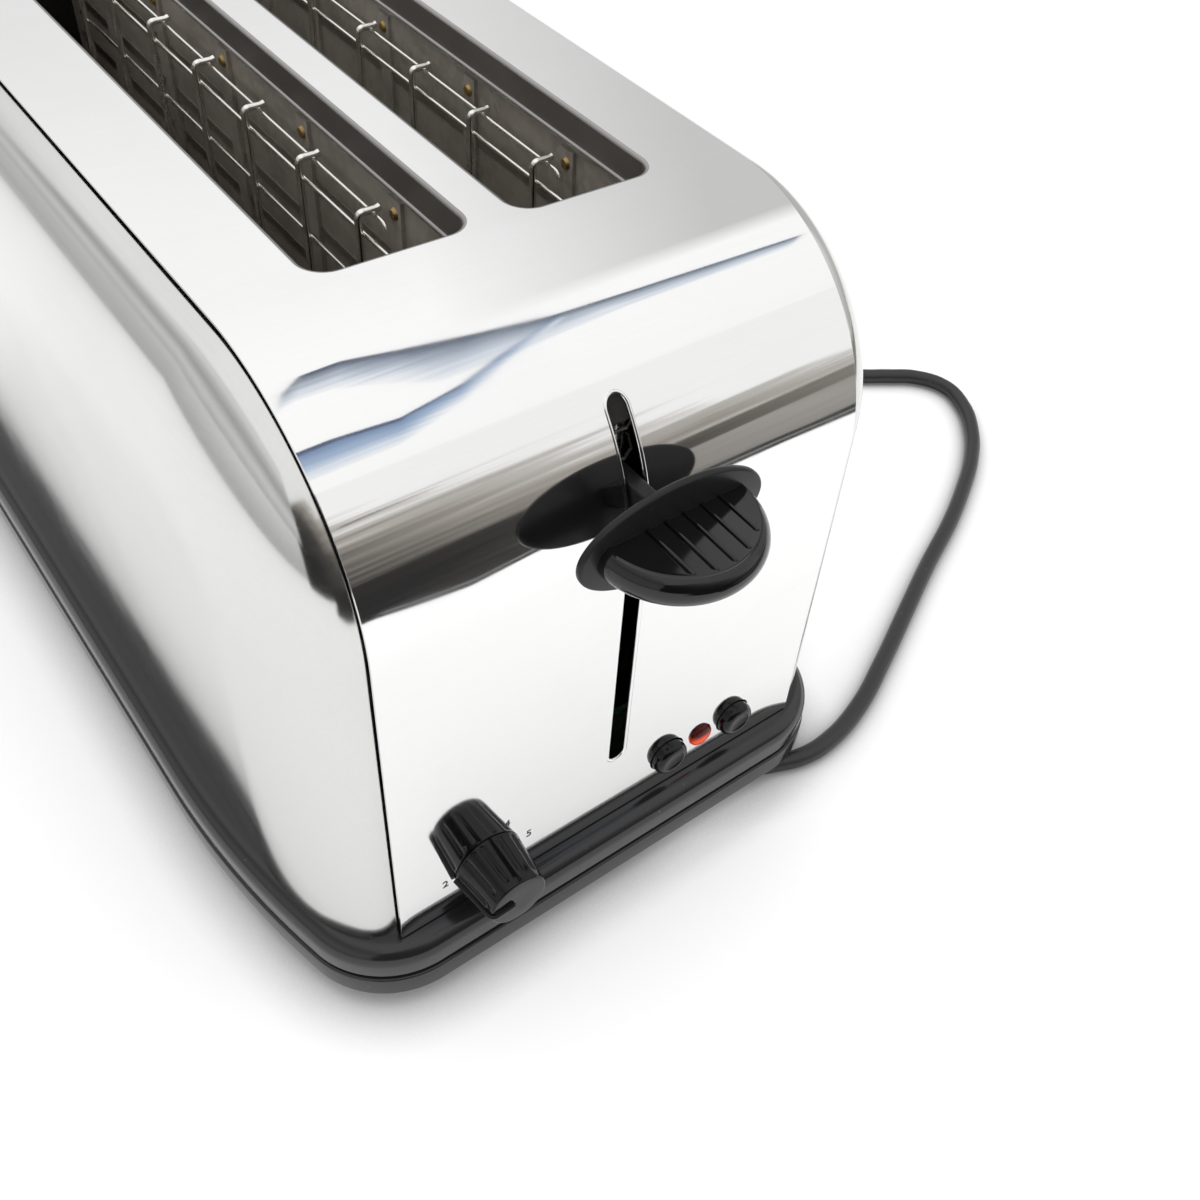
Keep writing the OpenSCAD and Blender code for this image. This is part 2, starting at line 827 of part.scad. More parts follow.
module left_outer_bread_guide() {
    bread_guide(-1, -1);
}

module left_inner_bread_guide() {
    bread_guide(-1, 1);
}

module right_inner_bread_guide() {
    bread_guide(1, -1);
}

module right_outer_bread_guide() {
    bread_guide(1, 1);
}

// Rack that lifts the bread: a strip on edge with cross bars, and a foot on the carriage
module bread_rack(side) {
    x = side * slot_cx;
    color([0.75, 0.75, 0.75]) {
        block([x - rack_t / 2, slider_back_y + sink, rack_top_z - rack_h],
              [x + rack_t / 2, rear_plate_y + plate_t + guide_tail, rack_top_z]);
        block([x - rack_t / 2, slider_back_y + sink, rack_top_z - rack_h],
              [x + rack_t / 2, slider_back_y + rack_post, lever_z + slider_h / 2]);
        block([x - rack_foot_hx, slider_back_y, lever_z - slider_h / 2],
              [x + rack_foot_hx, slider_back_y + plate_t, lever_z + slider_h / 2]);
        for (i = [0:guide_n - 2])
            translate([x - rack_bar_l / 2, guide_y[i] + guide_pitch / 2, rack_top_z])
                rotate([0, 90, 0])
                    cylinder(h = rack_bar_l, d = rack_bar_d);
    }
}

module left_bread_rack() {
    bread_rack(-1);
}

module right_bread_rack() {
    bread_rack(1);
}

module carriage_slider() {
    color([0.85, 0.83, 0.78])
        difference() {
            block([-slider_hx, slider_y - slider_d / 2, lever_z - slider_h / 2],
                  [slider_hx, slider_back_y, lever_z + slider_h / 2]);
            for (sx = [-1, 1])
                translate([sx * rod_x, slider_y, lever_z - slider_h / 2 - over])
                    cylinder(h = slider_h + 2 * over, d = rod_d + 2 * run_gap);
        }
}

module keeper_plate() {
    color([0.6, 0.6, 0.62])
        block([-keeper_hx, slider_y - magnet_d / 2 - keeper_edge, lever_z - slider_h / 2 - keeper_t],
              [keeper_hx, slider_y + magnet_d / 2 + keeper_edge, lever_z - slider_h / 2]);
}

// The arm reaches from the carriage through the panel into the thumb paddle
thumb_r = lever_reach - flange_gap - flange_t;
arm_grip = 0.6 * thumb_r;
arm_tip_y = front_y - flange_gap - flange_t - arm_grip;

module lever_arm() {
    color([0.05, 0.05, 0.055])
        block([-arm_t / 2, arm_tip_y, lever_z - arm_h / 2],
              [arm_t / 2, slider_y - slider_d / 2, lever_z + arm_h / 2]);
}

module lever_flange() {
    y = front_y - flange_gap;
    color([0.05, 0.05, 0.055])
        difference() {
            translate([0, y, lever_z])
                rotate([90, 0, 0])
                    linear_extrude(flange_t)
                        polygon([for (a = [0:6:354]) [flange_w / 2 * cos(a), flange_h / 2 * sin(a)]]);
            block([-arm_t / 2, y - flange_t - over, lever_z - arm_h / 2],
                  [arm_t / 2, y + over, lever_z + arm_h / 2]);
        }
}

// Half-round thumb paddle with a rolled rim and ridges along its top
module lever_knob() {
    y = front_y - flange_gap - flange_t;
    edge_r = thumb_t / 2 - 0.2;
    ridge_n = 5;
    ridge_pitch = 5;
    ridge_shift = 2;
    ridge_w = 1.6;
    ridge_h = 0.9;
    color([0.03, 0.03, 0.035])
        difference() {
            union() {
                translate([0, y, lever_z])
                    rotate([0, 0, 180])
                        rotate_extrude(angle = 180)
                            polygon(concat([[0, -thumb_t / 2]],
                                [for (a = [-90:15:90])
                                    [thumb_r - edge_r * (1 - cos(a)), (thumb_t / 2) * sin(a)]],
                                [[0, thumb_t / 2]]));
                for (i = [0:ridge_n - 1]) {
                    x = ridge_shift + (i - (ridge_n - 1) / 2) * ridge_pitch;
                    l = sqrt(pow(thumb_r - edge_r, 2) - x * x);
                    block([x - ridge_w / 2, y - l, lever_z + thumb_t / 2 - sink],
                          [x + ridge_w / 2, y, lever_z + thumb_t / 2 + ridge_h]);
                }
            }
            block([-arm_t / 2, arm_tip_y, lever_z - arm_h / 2],
                  [arm_t / 2, y + over, lever_z + arm_h / 2]);
        }
}

module guide_rods() {
    color([0.78, 0.78, 0.8])
        for (sx = [-1, 1])
            translate([sx * rod_x, slider_y, floor_z])
                cylinder(h = bracket_z + bracket_t - floor_z, d = rod_d);
}

module rod_bracket() {
    color([0.62, 0.62, 0.63])
        difference() {
            block([-rod_x - bracket_side, slider_y - bracket_front, bracket_z],
                  [rod_x + bracket_side, front_plate_y - plate_t, bracket_z + bracket_t]);
            for (sx = [-1, 1])
                translate([sx * rod_x, slider_y, bracket_z - over])
                    cylinder(h = bracket_t + 2 * over, d = rod_d);
        }
}

// Points of a ring of a tube: centre c, unit side vectors u and v
function ring(c, u, v, r, n) = [for (k = [0:n - 1]) c + r * (u * cos(tau * k / n) + v * sin(tau * k / n))];
function unit(v) = v / norm(v);
// Direction of a route at its i-th point
function heading(p, i) = unit(p[min(i + 1, len(p) - 1)] - p[max(i - 1, 0)]);
function side_of(t) = unit(cross([0, 0, 1], t));

// Closed tube with n sides along a route, its end faces square to the end headings
module tube(route, r, n, first, last) {
    m = len(route);
    dirs = [for (i = [0:m - 1]) i == 0 ? first : i == m - 1 ? last : heading(route, i)];
    rings = [for (i = [0:m - 1]) ring(route[i], side_of(dirs[i]), cross(dirs[i], side_of(dirs[i])), r, n)];
    points = [for (q = rings) each q];
    sides = [for (i = [0:m - 2], k = [0:n - 1], s = [0, 1])
        let (a = i * n + k, b = i * n + (k + 1) % n)
            s == 0 ? [a, b, b + n] : [a, b + n, a + n]];
    caps = [for (k = [1:n - 2], s = [0, 1])
        let (e = (m - 1) * n)
            s == 0 ? [0, k + 1, k] : [e, e + k, e + k + 1]];
    polyhedron(points, [for (f = concat(sides, caps)) [f[0], f[2], f[1]]]);
}

// Helix points of one return spring, with its wire just clear of what it bears on
spring_steps = 8;
spring_rest = 0.1;
function spring_route(x) = [for (i = [0:spring_turns * spring_steps])
    let (a = tau * i / spring_steps, q = i / (spring_turns * spring_steps))
        [x + spring_r * cos(a), slider_y + spring_r * sin(a),
         spring_low_z + spring_wire / 2 + spring_rest
         + q * (spring_high_z - spring_low_z - spring_wire - 2 * spring_rest)]];

module return_springs() {
    color([0.75, 0.75, 0.77])
        for (sx = [-1, 1])
            tube(spring_route(sx * rod_x), spring_wire / 2, 6, [0, 1, 0], [0, 1, 0]);
}

module magnet_core() {
    color([0.5, 0.5, 0.52])
        union() {
            block([-magnet_leg_x - magnet_leg_w / 2, slider_y - magnet_d / 2, floor_z],
                  [magnet_leg_x + magnet_leg_w / 2, slider_y + magnet_d / 2, floor_z + magnet_yoke_h]);
            for (sx = [-1, 1])
                block([sx * magnet_leg_x - magnet_leg_w / 2, slider_y - magnet_d / 2, floor_z],
                      [sx * magnet_leg_x + magnet_leg_w / 2, slider_y + magnet_d / 2, magnet_top_z]);
        }
}

module magnet_coils() {
    hx = magnet_leg_w / 2 + magnet_wind;
    hy = magnet_d / 2 + magnet_wind;
    low_z = floor_z + magnet_yoke_h;
    color([0.6, 0.32, 0.16])
        for (sx = [-1, 1])
            difference() {
                block([sx * magnet_leg_x - hx, slider_y - hy, low_z],
                      [sx * magnet_leg_x + hx, slider_y + hy, magnet_top_z - magnet_pole]);
                block([sx * magnet_leg_x - magnet_leg_w / 2, slider_y - magnet_d / 2, low_z - over],
                      [sx * magnet_leg_x + magnet_leg_w / 2, slider_y + magnet_d / 2, magnet_top_z]);
            }
}

module control_board() {
    color([0.1, 0.3, 0.16])
        block([-board_hx, board_y, floor_z], [board_hx, board_y + board_t, board_high_z]);
}

module power_relay() {
    color([0.1, 0.12, 0.2])
        translate([relay_low[0], board_y + board_t, floor_z + relay_low[1]])
            cube(relay_size);
}

module timer_chip() {
    color([0.06, 0.06, 0.06])
        translate([chip_low[0], board_y + board_t, floor_z + chip_low[1]])
            cube(chip_size);
}

module dial_potentiometer() {
    color([0.35, 0.36, 0.38])
        difference() {
            union() {
                bar_y(-dial_x, board_y - pot_l, control_h, pot_d, pot_l);
                bar_y(-dial_x, front_y + wrap_t + pass_gap, control_h, pot_bush_d,
                      board_y - pot_l - front_y - wrap_t);
            }
            bar_y(-dial_x, front_y, control_h, shaft_d + 2 * run_gap, board_y - front_y - shaft_back + over);
        }
}

module dial_shaft() {
    color([0.7, 0.7, 0.72])
        bar_y(-dial_x, front_y - dial_gap - dial_bore_l, control_h, shaft_d,
              dial_gap + dial_bore_l + board_y - front_y - shaft_back);
}

// Tapered dial with flutes round it and a pointer rib down one side
module dial_knob() {
    flute_n = 12;
    flute_d = 2.2;
    flute_out = 0.33;
    rib_w = 1.6;
    rib_out = 0.9;
    rib_front = 0.6;
    taper = atan((dial_d - dial_front_d) / 2 / dial_l);
    pointer = 180;
    color([0.03, 0.03, 0.035])
        translate([-dial_x, front_y - dial_gap, control_h])
            rotate([90, 0, 0])
                difference() {
                    union() {
                        difference() {
                            cylinder(h = dial_l, d1 = dial_d, d2 = dial_front_d);
                            for (i = [1:flute_n - 1])
                                rotate([0, 0, pointer + i * tau / flute_n])
                                    translate([dial_d / 2 + flute_out, 0, 0])
                                        rotate([0, -taper, 0])
                                            translate([0, 0, -2 * over])
                                                cylinder(h = dial_l, d = flute_d);
                        }
                        rotate([0, 0, pointer])
                            block([dial_d / 4, -rib_w / 2, 0],
                                  [dial_front_d / 2 + rib_out, rib_w / 2, dial_l + rib_front]);
                    }
                    translate([0, 0, -over])
                        cylinder(h = dial_bore_l + over, d = shaft_d);
                }
}

module button_switches() {
    color([0.12, 0.12, 0.12])
        for (x = [button_x, button_x + button_pitch]) {
            block([x - switch_w / 2, board_y - switch_body_l, control_h - switch_w / 2],
                  [x + switch_w / 2, board_y, control_h + switch_w / 2]);
            bar_y(x, board_y - switch_l, control_h, button_stem_d, switch_l - sink);
        }
}

// Push button: dished cap, body in the panel hole, retaining lip behind it and a stem to its switch
module push_button(x) {
    r = button_d / 2;
    edge = 1;
    dish = 0.2;
    back = wrap_t + pass_gap;
    stem_end = board_y - front_y - switch_l - button_travel - button_stem_gap;
    color([0.03, 0.03, 0.035])
        translate([x, front_y, control_h])
            rotate([90, 0, 0])
                rotate_extrude()
                    polygon(concat(
                        [[0, -stem_end], [button_stem_d / 2, -stem_end]],
                        [[button_stem_d / 2, -back - button_lip]],
                        [[r + button_lip_over, -back - button_lip], [r + button_lip_over, -back], [r, -back]],
                        [for (a = [0:15:180]) [r - edge * (1 - cos(a)), button_out - edge + edge * sin(a)]],
                        [[0, button_out - edge - dish]]));
}

module left_button() {
    push_button(button_x);
}

module right_button() {
    push_button(button_x + button_pitch);
}

module indicator_lamp() {
    color([0.9, 0.4, 0.3, 0.8])
        translate([lens_x, board_y, control_h])
            rotate([90, 0, 0])
                cylinder(h = lamp_l, d = lamp_d);
}

module indicator_lens() {
    dome = 1.8;
    lens_foot = 2;
    lens_collar = 1;
    color([0.75, 0.1, 0.05, 0.8])
        translate([lens_x, front_y, control_h])
            rotate([90, 0, 0])
                rotate_extrude()
                    polygon(concat([[0, -wrap_t - lens_foot]],
                                   [[lens_d / 2 + lens_collar, -wrap_t - lens_foot]],
                                   [[lens_d / 2 + lens_collar, -wrap_t], [lens_d / 2, -wrap_t]],
                                   [for (a = [0:15:90]) [lens_d / 2 * cos(a), dome * sin(a)]]));
}

module terminal_block() {
    color([0.85, 0.85, 0.82])
        difference() {
            translate([terminal_low[0], front_y + terminal_low[1], floor_z])
                cube(terminal_size);
            for (s = [-1, 1])
                translate([terminal_low[0] + (terminal_size[0] + s * terminal_hole_pitch) / 2,
                           front_y + terminal_low[1] + terminal_size[1] / 2, floor_z + terminal_hole_floor])
                    cylinder(h = terminal_size[2], d = terminal_hole_d);
        }
}

// Sheet tray that slides out at the rear, with a finger lip
module crumb_tray() {
    low_z = floor_z + tray_lift;
    color([0.68, 0.68, 0.69])
        union() {
            difference() {
                block([-tray_hx, tray_front_y, low_z], [tray_hx, tray_back_y, tray_top_z]);
                block([-tray_hx + tray_t, tray_front_y + tray_t, low_z + tray_t],
                      [tray_hx - tray_t, tray_back_y - tray_t, tray_top_z + over]);
            }
            block([-tray_hx, tray_back_y, low_z], [tray_hx, tray_back_y + tray_handle_t, tray_top_z]);
        }
}

module strain_relief() {
    color([0.04, 0.04, 0.04])
        translate([pocket_x - base_wall - gland_flange_t, gland_y, gland_z])
            rotate([0, 90, 0])
                union() {
                    cylinder(h = gland_flange_t, d = gland_flange_d);
                    cylinder(h = base_wall + 2 * gland_flange_t, d = gland_bore_d);
                    translate([0, 0, base_wall + gland_flange_t])
                        cylinder(h = gland_flange_t, d = gland_flange_d + 2 * gland_collar);
                    translate([0, 0, base_wall + 2 * gland_flange_t])
                        cylinder(h = gland_end_x - pocket_x - gland_flange_t, d1 = gland_sleeve_d,
                                 d2 = gland_bore_d);
                }
}

module power_cord() {
    color([0.05, 0.05, 0.05])
        tube(cord_route, cord_r, cord_sides, [1, 0, 0], [0, 1, 0]);
}

// The coil runs in along the table, climbs a layer in the half turn where it reverses, and runs out
coil_climb = 0.5;
coil_all = 2 * coil_turns + coil_climb;
function coil_radius(q) = coil_r - coil_pitch
    * (q <= coil_all / 2 ? q : coil_all - q);
function coil_height(q) = coil_z + coil_pitch * max(0, min(1, (q - coil_turns) / coil_climb));
function coil_point(q) = [coil_x + coil_radius(q) * cos(tau * q), coil_y + coil_radius(q) * sin(tau * q),
                          coil_height(q)];
coil_count = coil_all * coil_steps;
coil_route = concat(
    [[coil_x + coil_r, coil_y - coil_lead, coil_z]],
    [for (i = [0:coil_count]) coil_point(i / coil_steps)],
    [[coil_x + coil_r, coil_end, coil_z + coil_pitch]]
);
// Least distance between points of the coil that lie half a turn or more apart along it
coil_clear = min([for (i = [0:coil_count - 12], j = [i + 12:coil_count])
    norm(coil_point(i / coil_steps) - coil_point(j / coil_steps))]) - cord_d;
echo(coil_gap_least = coil_clear);

module cord_coil() {
    color([0.05, 0.05, 0.05])
        tube(coil_route, cord_r, coil_sides, [0, 1, 0], [0, 1, 0]);
}

// Strap round the bundle on the coil's far side
module cord_tie() {
    inner_r = coil_r - coil_pitch * coil_all / 2 - cord_r - tie_room;
    outer_r = coil_r + cord_r + tie_room;
    high = coil_z + coil_pitch + cord_r + tie_room;
    low = coil_z - cord_r - tie_under;
    color([0.12, 0.12, 0.12])
        translate([coil_x, coil_y - tie_w / 2, 0])
            difference() {
                block([-outer_r - tie_t, 0, low - tie_t], [-inner_r + tie_t, tie_w, high + tie_t]);
                block([-outer_r, -over, low], [-inner_r, tie_w + over, high]);
            }
}

module plug_body() {
    color([0.04, 0.04, 0.04])
        union() {
            translate([plug_x, coil_end, plug_z])
                rotate([-90, 0, 0])
                    cylinder(h = plug_sleeve_l + sink, d1 = plug_sleeve_d[0], d2 = plug_sleeve_d[1]);
            translate([plug_x, plug_y, plug_z])
                rotate([-90, 0, 0])
                    linear_extrude(plug_l) {
                        square([plug_w - plug_h, plug_h], center = true);
                        for (sx = [-1, 1])
                            translate([sx * (plug_w - plug_h) / 2, 0])
                                circle(d = plug_h);
                    }
        }
}

module plug_pins() {
    color([0.8, 0.78, 0.7])
        for (sx = [-1, 1])
            bar_y(plug_x + sx * plug_pin_pitch / 2, plug_y + plug_l, plug_z, plug_pin_d, plug_pin_l);
}

base_shell();
rubber_feet();
base_screws();
body_wrap();
left_side_panel();
right_side_panel();
front_bulkhead();
rear_bulkhead();
left_reflector();
right_reflector();
left_outer_heater_board();
left_inner_heater_board();
right_inner_heater_board();
right_outer_heater_board();
left_outer_heating_ribbon();
left_inner_heating_ribbon();
right_inner_heating_ribbon();
right_outer_heating_ribbon();
heater_rivets();
left_outer_bread_guide();
left_inner_bread_guide();
right_inner_bread_guide();
right_outer_bread_guide();
left_bread_rack();
right_bread_rack();
carriage_slider();
keeper_plate();
lever_arm();
lever_flange();
lever_knob();
guide_rods();
rod_bracket();
return_springs();
magnet_core();
magnet_coils();
control_board();
power_relay();
timer_chip();
dial_potentiometer();
dial_shaft();
dial_knob();
button_switches();
left_button();
right_button();
indicator_lamp();
indicator_lens();
terminal_block();
crumb_tray();
strain_relief();
power_cord();
cord_coil();
cord_tie();
plug_body();
plug_pins();
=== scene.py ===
"""Long-slot toaster drawn over its CAD frame: smooth pieces, finishes, studio and camera.

Each sub-assembly is a class whose fields are its sizes. build() models the pieces and dress() gives them
their finishes. Lengths are metres, and MM turns millimetres into them. The front faces -Y and +Z is up.
"""

from __future__ import annotations

import logging
import math
from contextlib import contextmanager
from dataclasses import dataclass, field, replace
from enum import Enum
from functools import cache
from typing import Callable, ClassVar, Iterator, Sequence

import bmesh
import bpy
from mathutils import Matrix, Vector

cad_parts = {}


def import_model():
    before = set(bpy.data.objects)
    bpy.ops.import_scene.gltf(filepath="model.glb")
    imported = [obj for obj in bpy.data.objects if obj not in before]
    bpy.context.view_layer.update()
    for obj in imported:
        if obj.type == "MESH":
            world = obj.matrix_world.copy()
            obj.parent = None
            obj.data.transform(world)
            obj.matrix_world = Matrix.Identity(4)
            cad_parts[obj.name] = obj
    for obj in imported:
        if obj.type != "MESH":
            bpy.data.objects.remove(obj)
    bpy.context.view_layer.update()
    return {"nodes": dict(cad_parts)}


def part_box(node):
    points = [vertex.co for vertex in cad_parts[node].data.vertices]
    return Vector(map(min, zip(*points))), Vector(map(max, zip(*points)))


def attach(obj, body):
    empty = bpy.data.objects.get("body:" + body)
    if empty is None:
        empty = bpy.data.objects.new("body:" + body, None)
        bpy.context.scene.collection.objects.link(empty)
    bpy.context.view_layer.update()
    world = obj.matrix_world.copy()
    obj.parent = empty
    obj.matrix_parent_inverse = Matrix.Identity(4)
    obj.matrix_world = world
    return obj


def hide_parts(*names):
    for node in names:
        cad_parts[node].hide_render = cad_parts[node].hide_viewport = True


Piece = bpy.types.Object
Socket = bpy.types.NodeSocket
LOG = logging.getLogger("toaster")
MM = 0.001
HAIR = 1e-6
SHY = 0.05 * MM
ALONG = 0.9
LYING = (math.pi / 2, 0, 0)
WHITE = (1, 1, 1, 1)
GRILLES = ("left_outer", "left_inner", "right_inner", "right_outer")


class Pick(Enum):
    """Kind of mesh element that a step selects."""

    CORNER = "VERT"
    EDGE = "EDGE"
    FACE = "FACE"


class Slot(Enum):
    """Material slots of the record, by the name that they have there."""

    POLISHED = "polished_steel"
    SATIN = "satin_steel"
    GLOSS = "black_gloss"
    BLACK = "black_satin"
    RUBBER = "rubber"
    PLATED = "plated_steel"
    WIRE = "nickel_wire"
    MICA = "mica"
    RIBBON = "heating_ribbon"
    BRASS = "brass"
    COPPER = "copper_wire"
    BOARD = "board"
    COMPONENT = "component"
    PALE = "pale_plastic"
    LENS = "red_lens"
    CORD = "cord_black"


def arc(centre: tuple, radius: float | tuple, start: float, end: float, steps: int) -> list:
    """Points along an arc of a circle or an ellipse.

    Args:
        centre: Its middle.
        radius: Its radius, or its two half axes.
        start: First angle in degrees.
        end: Last angle in degrees.
        steps: Number of steps between them.

    Returns:
        steps + 1 pairs of numbers.
    """
    wide, high = radius if isinstance(radius, tuple) else (radius, radius)
    turns = [math.radians(start + (end - start) * k / steps) for k in range(steps + 1)]
    return [(centre[0] + wide * math.cos(turn), centre[1] + high * math.sin(turn)) for turn in turns]


def runs_along(axis: int) -> Callable[[Vector, Vector], bool]:
    """Test for edges along an axis, or faces square to it: 0, 1 or 2 for X, Y or Z."""
    return lambda at, way: abs(way[axis]) > ALONG


class Bench:
    """Modelling steps that the pieces share, each a few operator calls."""

    SHARP: ClassVar[float] = 40

    @staticmethod
    def alone(*objects: Piece) -> None:
        """Selects only these objects and makes the first one active.

        Args:
            objects: Objects to select; none of them deselects all.
        """
        if bpy.context.mode != "OBJECT":
            bpy.ops.object.mode_set(mode="OBJECT")
        bpy.ops.object.select_all(action="DESELECT")
        for obj in objects:
            obj.select_set(True)
        if objects:
            bpy.context.view_layer.objects.active = objects[0]

    @staticmethod
    def settle(name: str) -> Piece:
        """Names the active object and puts its place into its mesh.

        Args:
            name: New name of the object.

        Returns:
            The object, at the origin and unscaled.
        """
        obj = bpy.context.object
        obj.name = name
        obj.data.name = name
        bpy.ops.object.transform_apply(location=True, rotation=True, scale=True)
        return obj

    @classmethod
    def box(cls, name: str, low: Sequence, high: Sequence) -> Piece:
        """Adds a box between two corners.

        Args:
            name: Name of the object.
            low: Its lowest corner.
            high: Its highest corner.

        Returns:
            The box.
        """
        cls.alone()
        low = Vector(low)
        high = Vector(high)
        bpy.ops.mesh.primitive_cube_add(size=1.0, location=(low + high) / 2)
        bpy.context.object.scale = high - low
        return cls.settle(name)

    @classmethod
    def round_box(cls, name: str, low: Sequence, high: Sequence, axis: int, radius: float,
                  steps: int) -> Piece:
        """Adds a box with rounded edges along one axis.

        Args:
            name: Name of the object.
            low: Its lowest corner.
            high: Its highest corner.
            axis: 0, 1 or 2 for X, Y or Z.
            radius: Radius of the edges.
            steps: Number of steps in each.

        Returns:
            The box.
        """
        obj = cls.box(name, low, high)
        with cls.editing(obj):
            cls.pick(obj, Pick.EDGE, runs_along(axis))
            cls.bevel(radius, steps)
        return obj

    @classmethod
    def rod(cls, name: str, centre: Sequence, radius: float, length: float, sides: int = 48) -> Piece:
        """Adds a round bar along Y.

        Args:
            name: Name of the object.
            centre: Its middle.
            radius: Its radius.
            length: Its length.
            sides: Number of sides.

        Returns:
            The bar.
        """
        cls.alone()
        bpy.ops.mesh.primitive_cylinder_add(vertices=sides, radius=radius, depth=length, location=centre,
                                            rotation=LYING)
        return cls.settle(name)

    @classmethod
    @contextmanager
    def editing(cls, obj: Piece, everything: bool = False) -> Iterator[None]:
        """Opens an object in edit mode for the steps in the with block.

        Args:
            obj: Object to edit.
            everything: Whether all of it starts selected.

        Yields:
            Nothing.
        """
        cls.alone(obj)
        bpy.ops.object.mode_set(mode="EDIT")
        bpy.ops.mesh.select_mode(type=Pick.CORNER.value)
        bpy.ops.mesh.select_all(action="SELECT" if everything else "DESELECT")
        yield
        bpy.ops.object.mode_set(mode="OBJECT")

    @staticmethod
    def pick(obj: Piece, kind: Pick, test: Callable[[Vector, Vector], bool]) -> None:
        """Selects the elements of the edited mesh that pass a test.

        Args:
            obj: Object in edit mode.
            kind: What is selected.
            test: Takes an element's middle and its normal, or an edge's direction.
        """
        bpy.ops.mesh.select_mode(type=kind.value)
        bpy.ops.mesh.select_all(action="DESELECT")
        mesh = bmesh.from_edit_mesh(obj.data)
        if kind is Pick.CORNER:
            for corner in mesh.verts:
                corner.select_set(test(corner.co, corner.normal))
        elif kind is Pick.EDGE:
            for edge in mesh.edges:
                start, end = edge.verts[0].co, edge.verts[1].co
                edge.select_set(test((start + end) / 2, (end - start).normalized()))
        else:
            for face in mesh.faces:
                face.select_set(test(face.calc_center_median(), face.normal))
        mesh.select_flush_mode()
        bmesh.update_edit_mesh(obj.data)

    @staticmethod
    def bevel(offset: float, segments: int, corners: bool = False) -> None:
        """Rounds the selected edges in edit mode, or the corners instead."""
        bpy.ops.mesh.bevel(offset=offset, segments=segments, clamp_overlap=False,
                           affect="VERTICES" if corners else "EDGES")

    @classmethod
    def apply(cls, obj: Piece, kind: str, **settings: object) -> None:
        """Adds a modifier and applies it.

        Args:
            obj: Object that is changed.
            kind: Type of the modifier.
            settings: Values of the modifier's properties.
        """
        cls.alone(obj)
        bpy.ops.object.modifier_add(type=kind)
        modifier = obj.modifiers[-1]
        for key, value in settings.items():
            setattr(modifier, key, value)
        bpy.ops.object.modifier_apply(modifier=modifier.name)

    @classmethod
    def soften(cls, obj: Piece, width: float, segments: int = 2) -> None:
        """Rounds all sharp edges of a piece a little."""
        cls.apply(obj, "BEVEL", width=width, segments=segments, limit_method="ANGLE",
                  angle_limit=math.radians(cls.SHARP), use_clamp_overlap=True)

    @classmethod
    def thicken(cls, obj: Piece, sheet: float) -> None:
        """Gives a surface the thickness of its sheet, inwards."""
        cls.apply(obj, "SOLIDIFY", thickness=sheet, offset=-1.0)

    @classmethod
    def cut(cls, obj: Piece, *cutters: Piece) -> None:
        """Cuts shapes out of a piece and throws them away.

        Args:
            obj: Piece that is cut.
            cutters: Shapes that are taken out of it.
        """
        for cutter in cutters:
            cls.apply(obj, "BOOLEAN", operation="DIFFERENCE", object=cutter, solver="EXACT")
            bpy.data.objects.remove(cutter)

    @classmethod
    def join(cls, name: str, *parts: Piece) -> Piece:
        """Joins objects into one.

        Args:
            name: Name of the result.
            parts: Objects to join.

        Returns:
            The joined object.
        """
        cls.alone(*parts)
        if len(parts) > 1:
            bpy.ops.object.join()
        return cls.settle(name)

    @classmethod
    def mirrored(cls, obj: Piece, name: str) -> Piece:
        """Copies a piece to the other side of the middle plane.

        Args:
            obj: Piece to copy.
            name: Name of the copy.

        Returns:
            The copy.
        """
        cls.alone(obj)
        bpy.ops.object.duplicate()
        bpy.context.object.scale.x = -1
        copy = cls.settle(name)
        cls.weld(copy)
        return copy

    @classmethod
    def weld(cls, obj: Piece) -> None:
        """Merges corners that coincide and turns all faces outwards.

        Args:
            obj: Piece that is welded.
        """
        with cls.editing(obj, everything=True):
            bpy.ops.mesh.remove_doubles(threshold=HAIR)
            bpy.ops.mesh.normals_make_consistent(inside=False)

    @classmethod
    def outline(cls, name: str, points: Sequence) -> Piece:
        """Draws a chain of edges by extruding one corner from point to point.

        Args:
            name: Name of the object.
            points: Points of the chain.

        Returns:
            The chain.
        """
        places = [Vector(point) for point in points]
        cls.alone()
        bpy.ops.mesh.primitive_plane_add(size=MM)
        obj = cls.settle(name)
        with cls.editing(obj, everything=True):
            bpy.ops.mesh.merge(type="CENTER")
            bpy.ops.transform.translate(value=places[0])
            for here, there in zip(places, places[1:]):
                bpy.ops.mesh.extrude_vertices_move(TRANSFORM_OT_translate={"value": there - here})
        return obj

    @classmethod
    def revolve(cls, name: str, points: Sequence, centre: Sequence, axis: Sequence, steps: int,
                angle: float = 360) -> Piece:
        """Turns a chain of points about an axis.

        Args:
            name: Name of the object.
            points: Points of the chain.
            centre: A point on the axis.
            axis: Direction of the axis.
            steps: Number of steps.
            angle: Angle of the turn in degrees.

        Returns:
            The turned piece.
        """
        obj = cls.outline(name, points)
        with cls.editing(obj, everything=True):
            bpy.ops.mesh.spin(steps=steps, angle=math.radians(angle), center=centre, axis=axis)
        cls.weld(obj)
        return obj

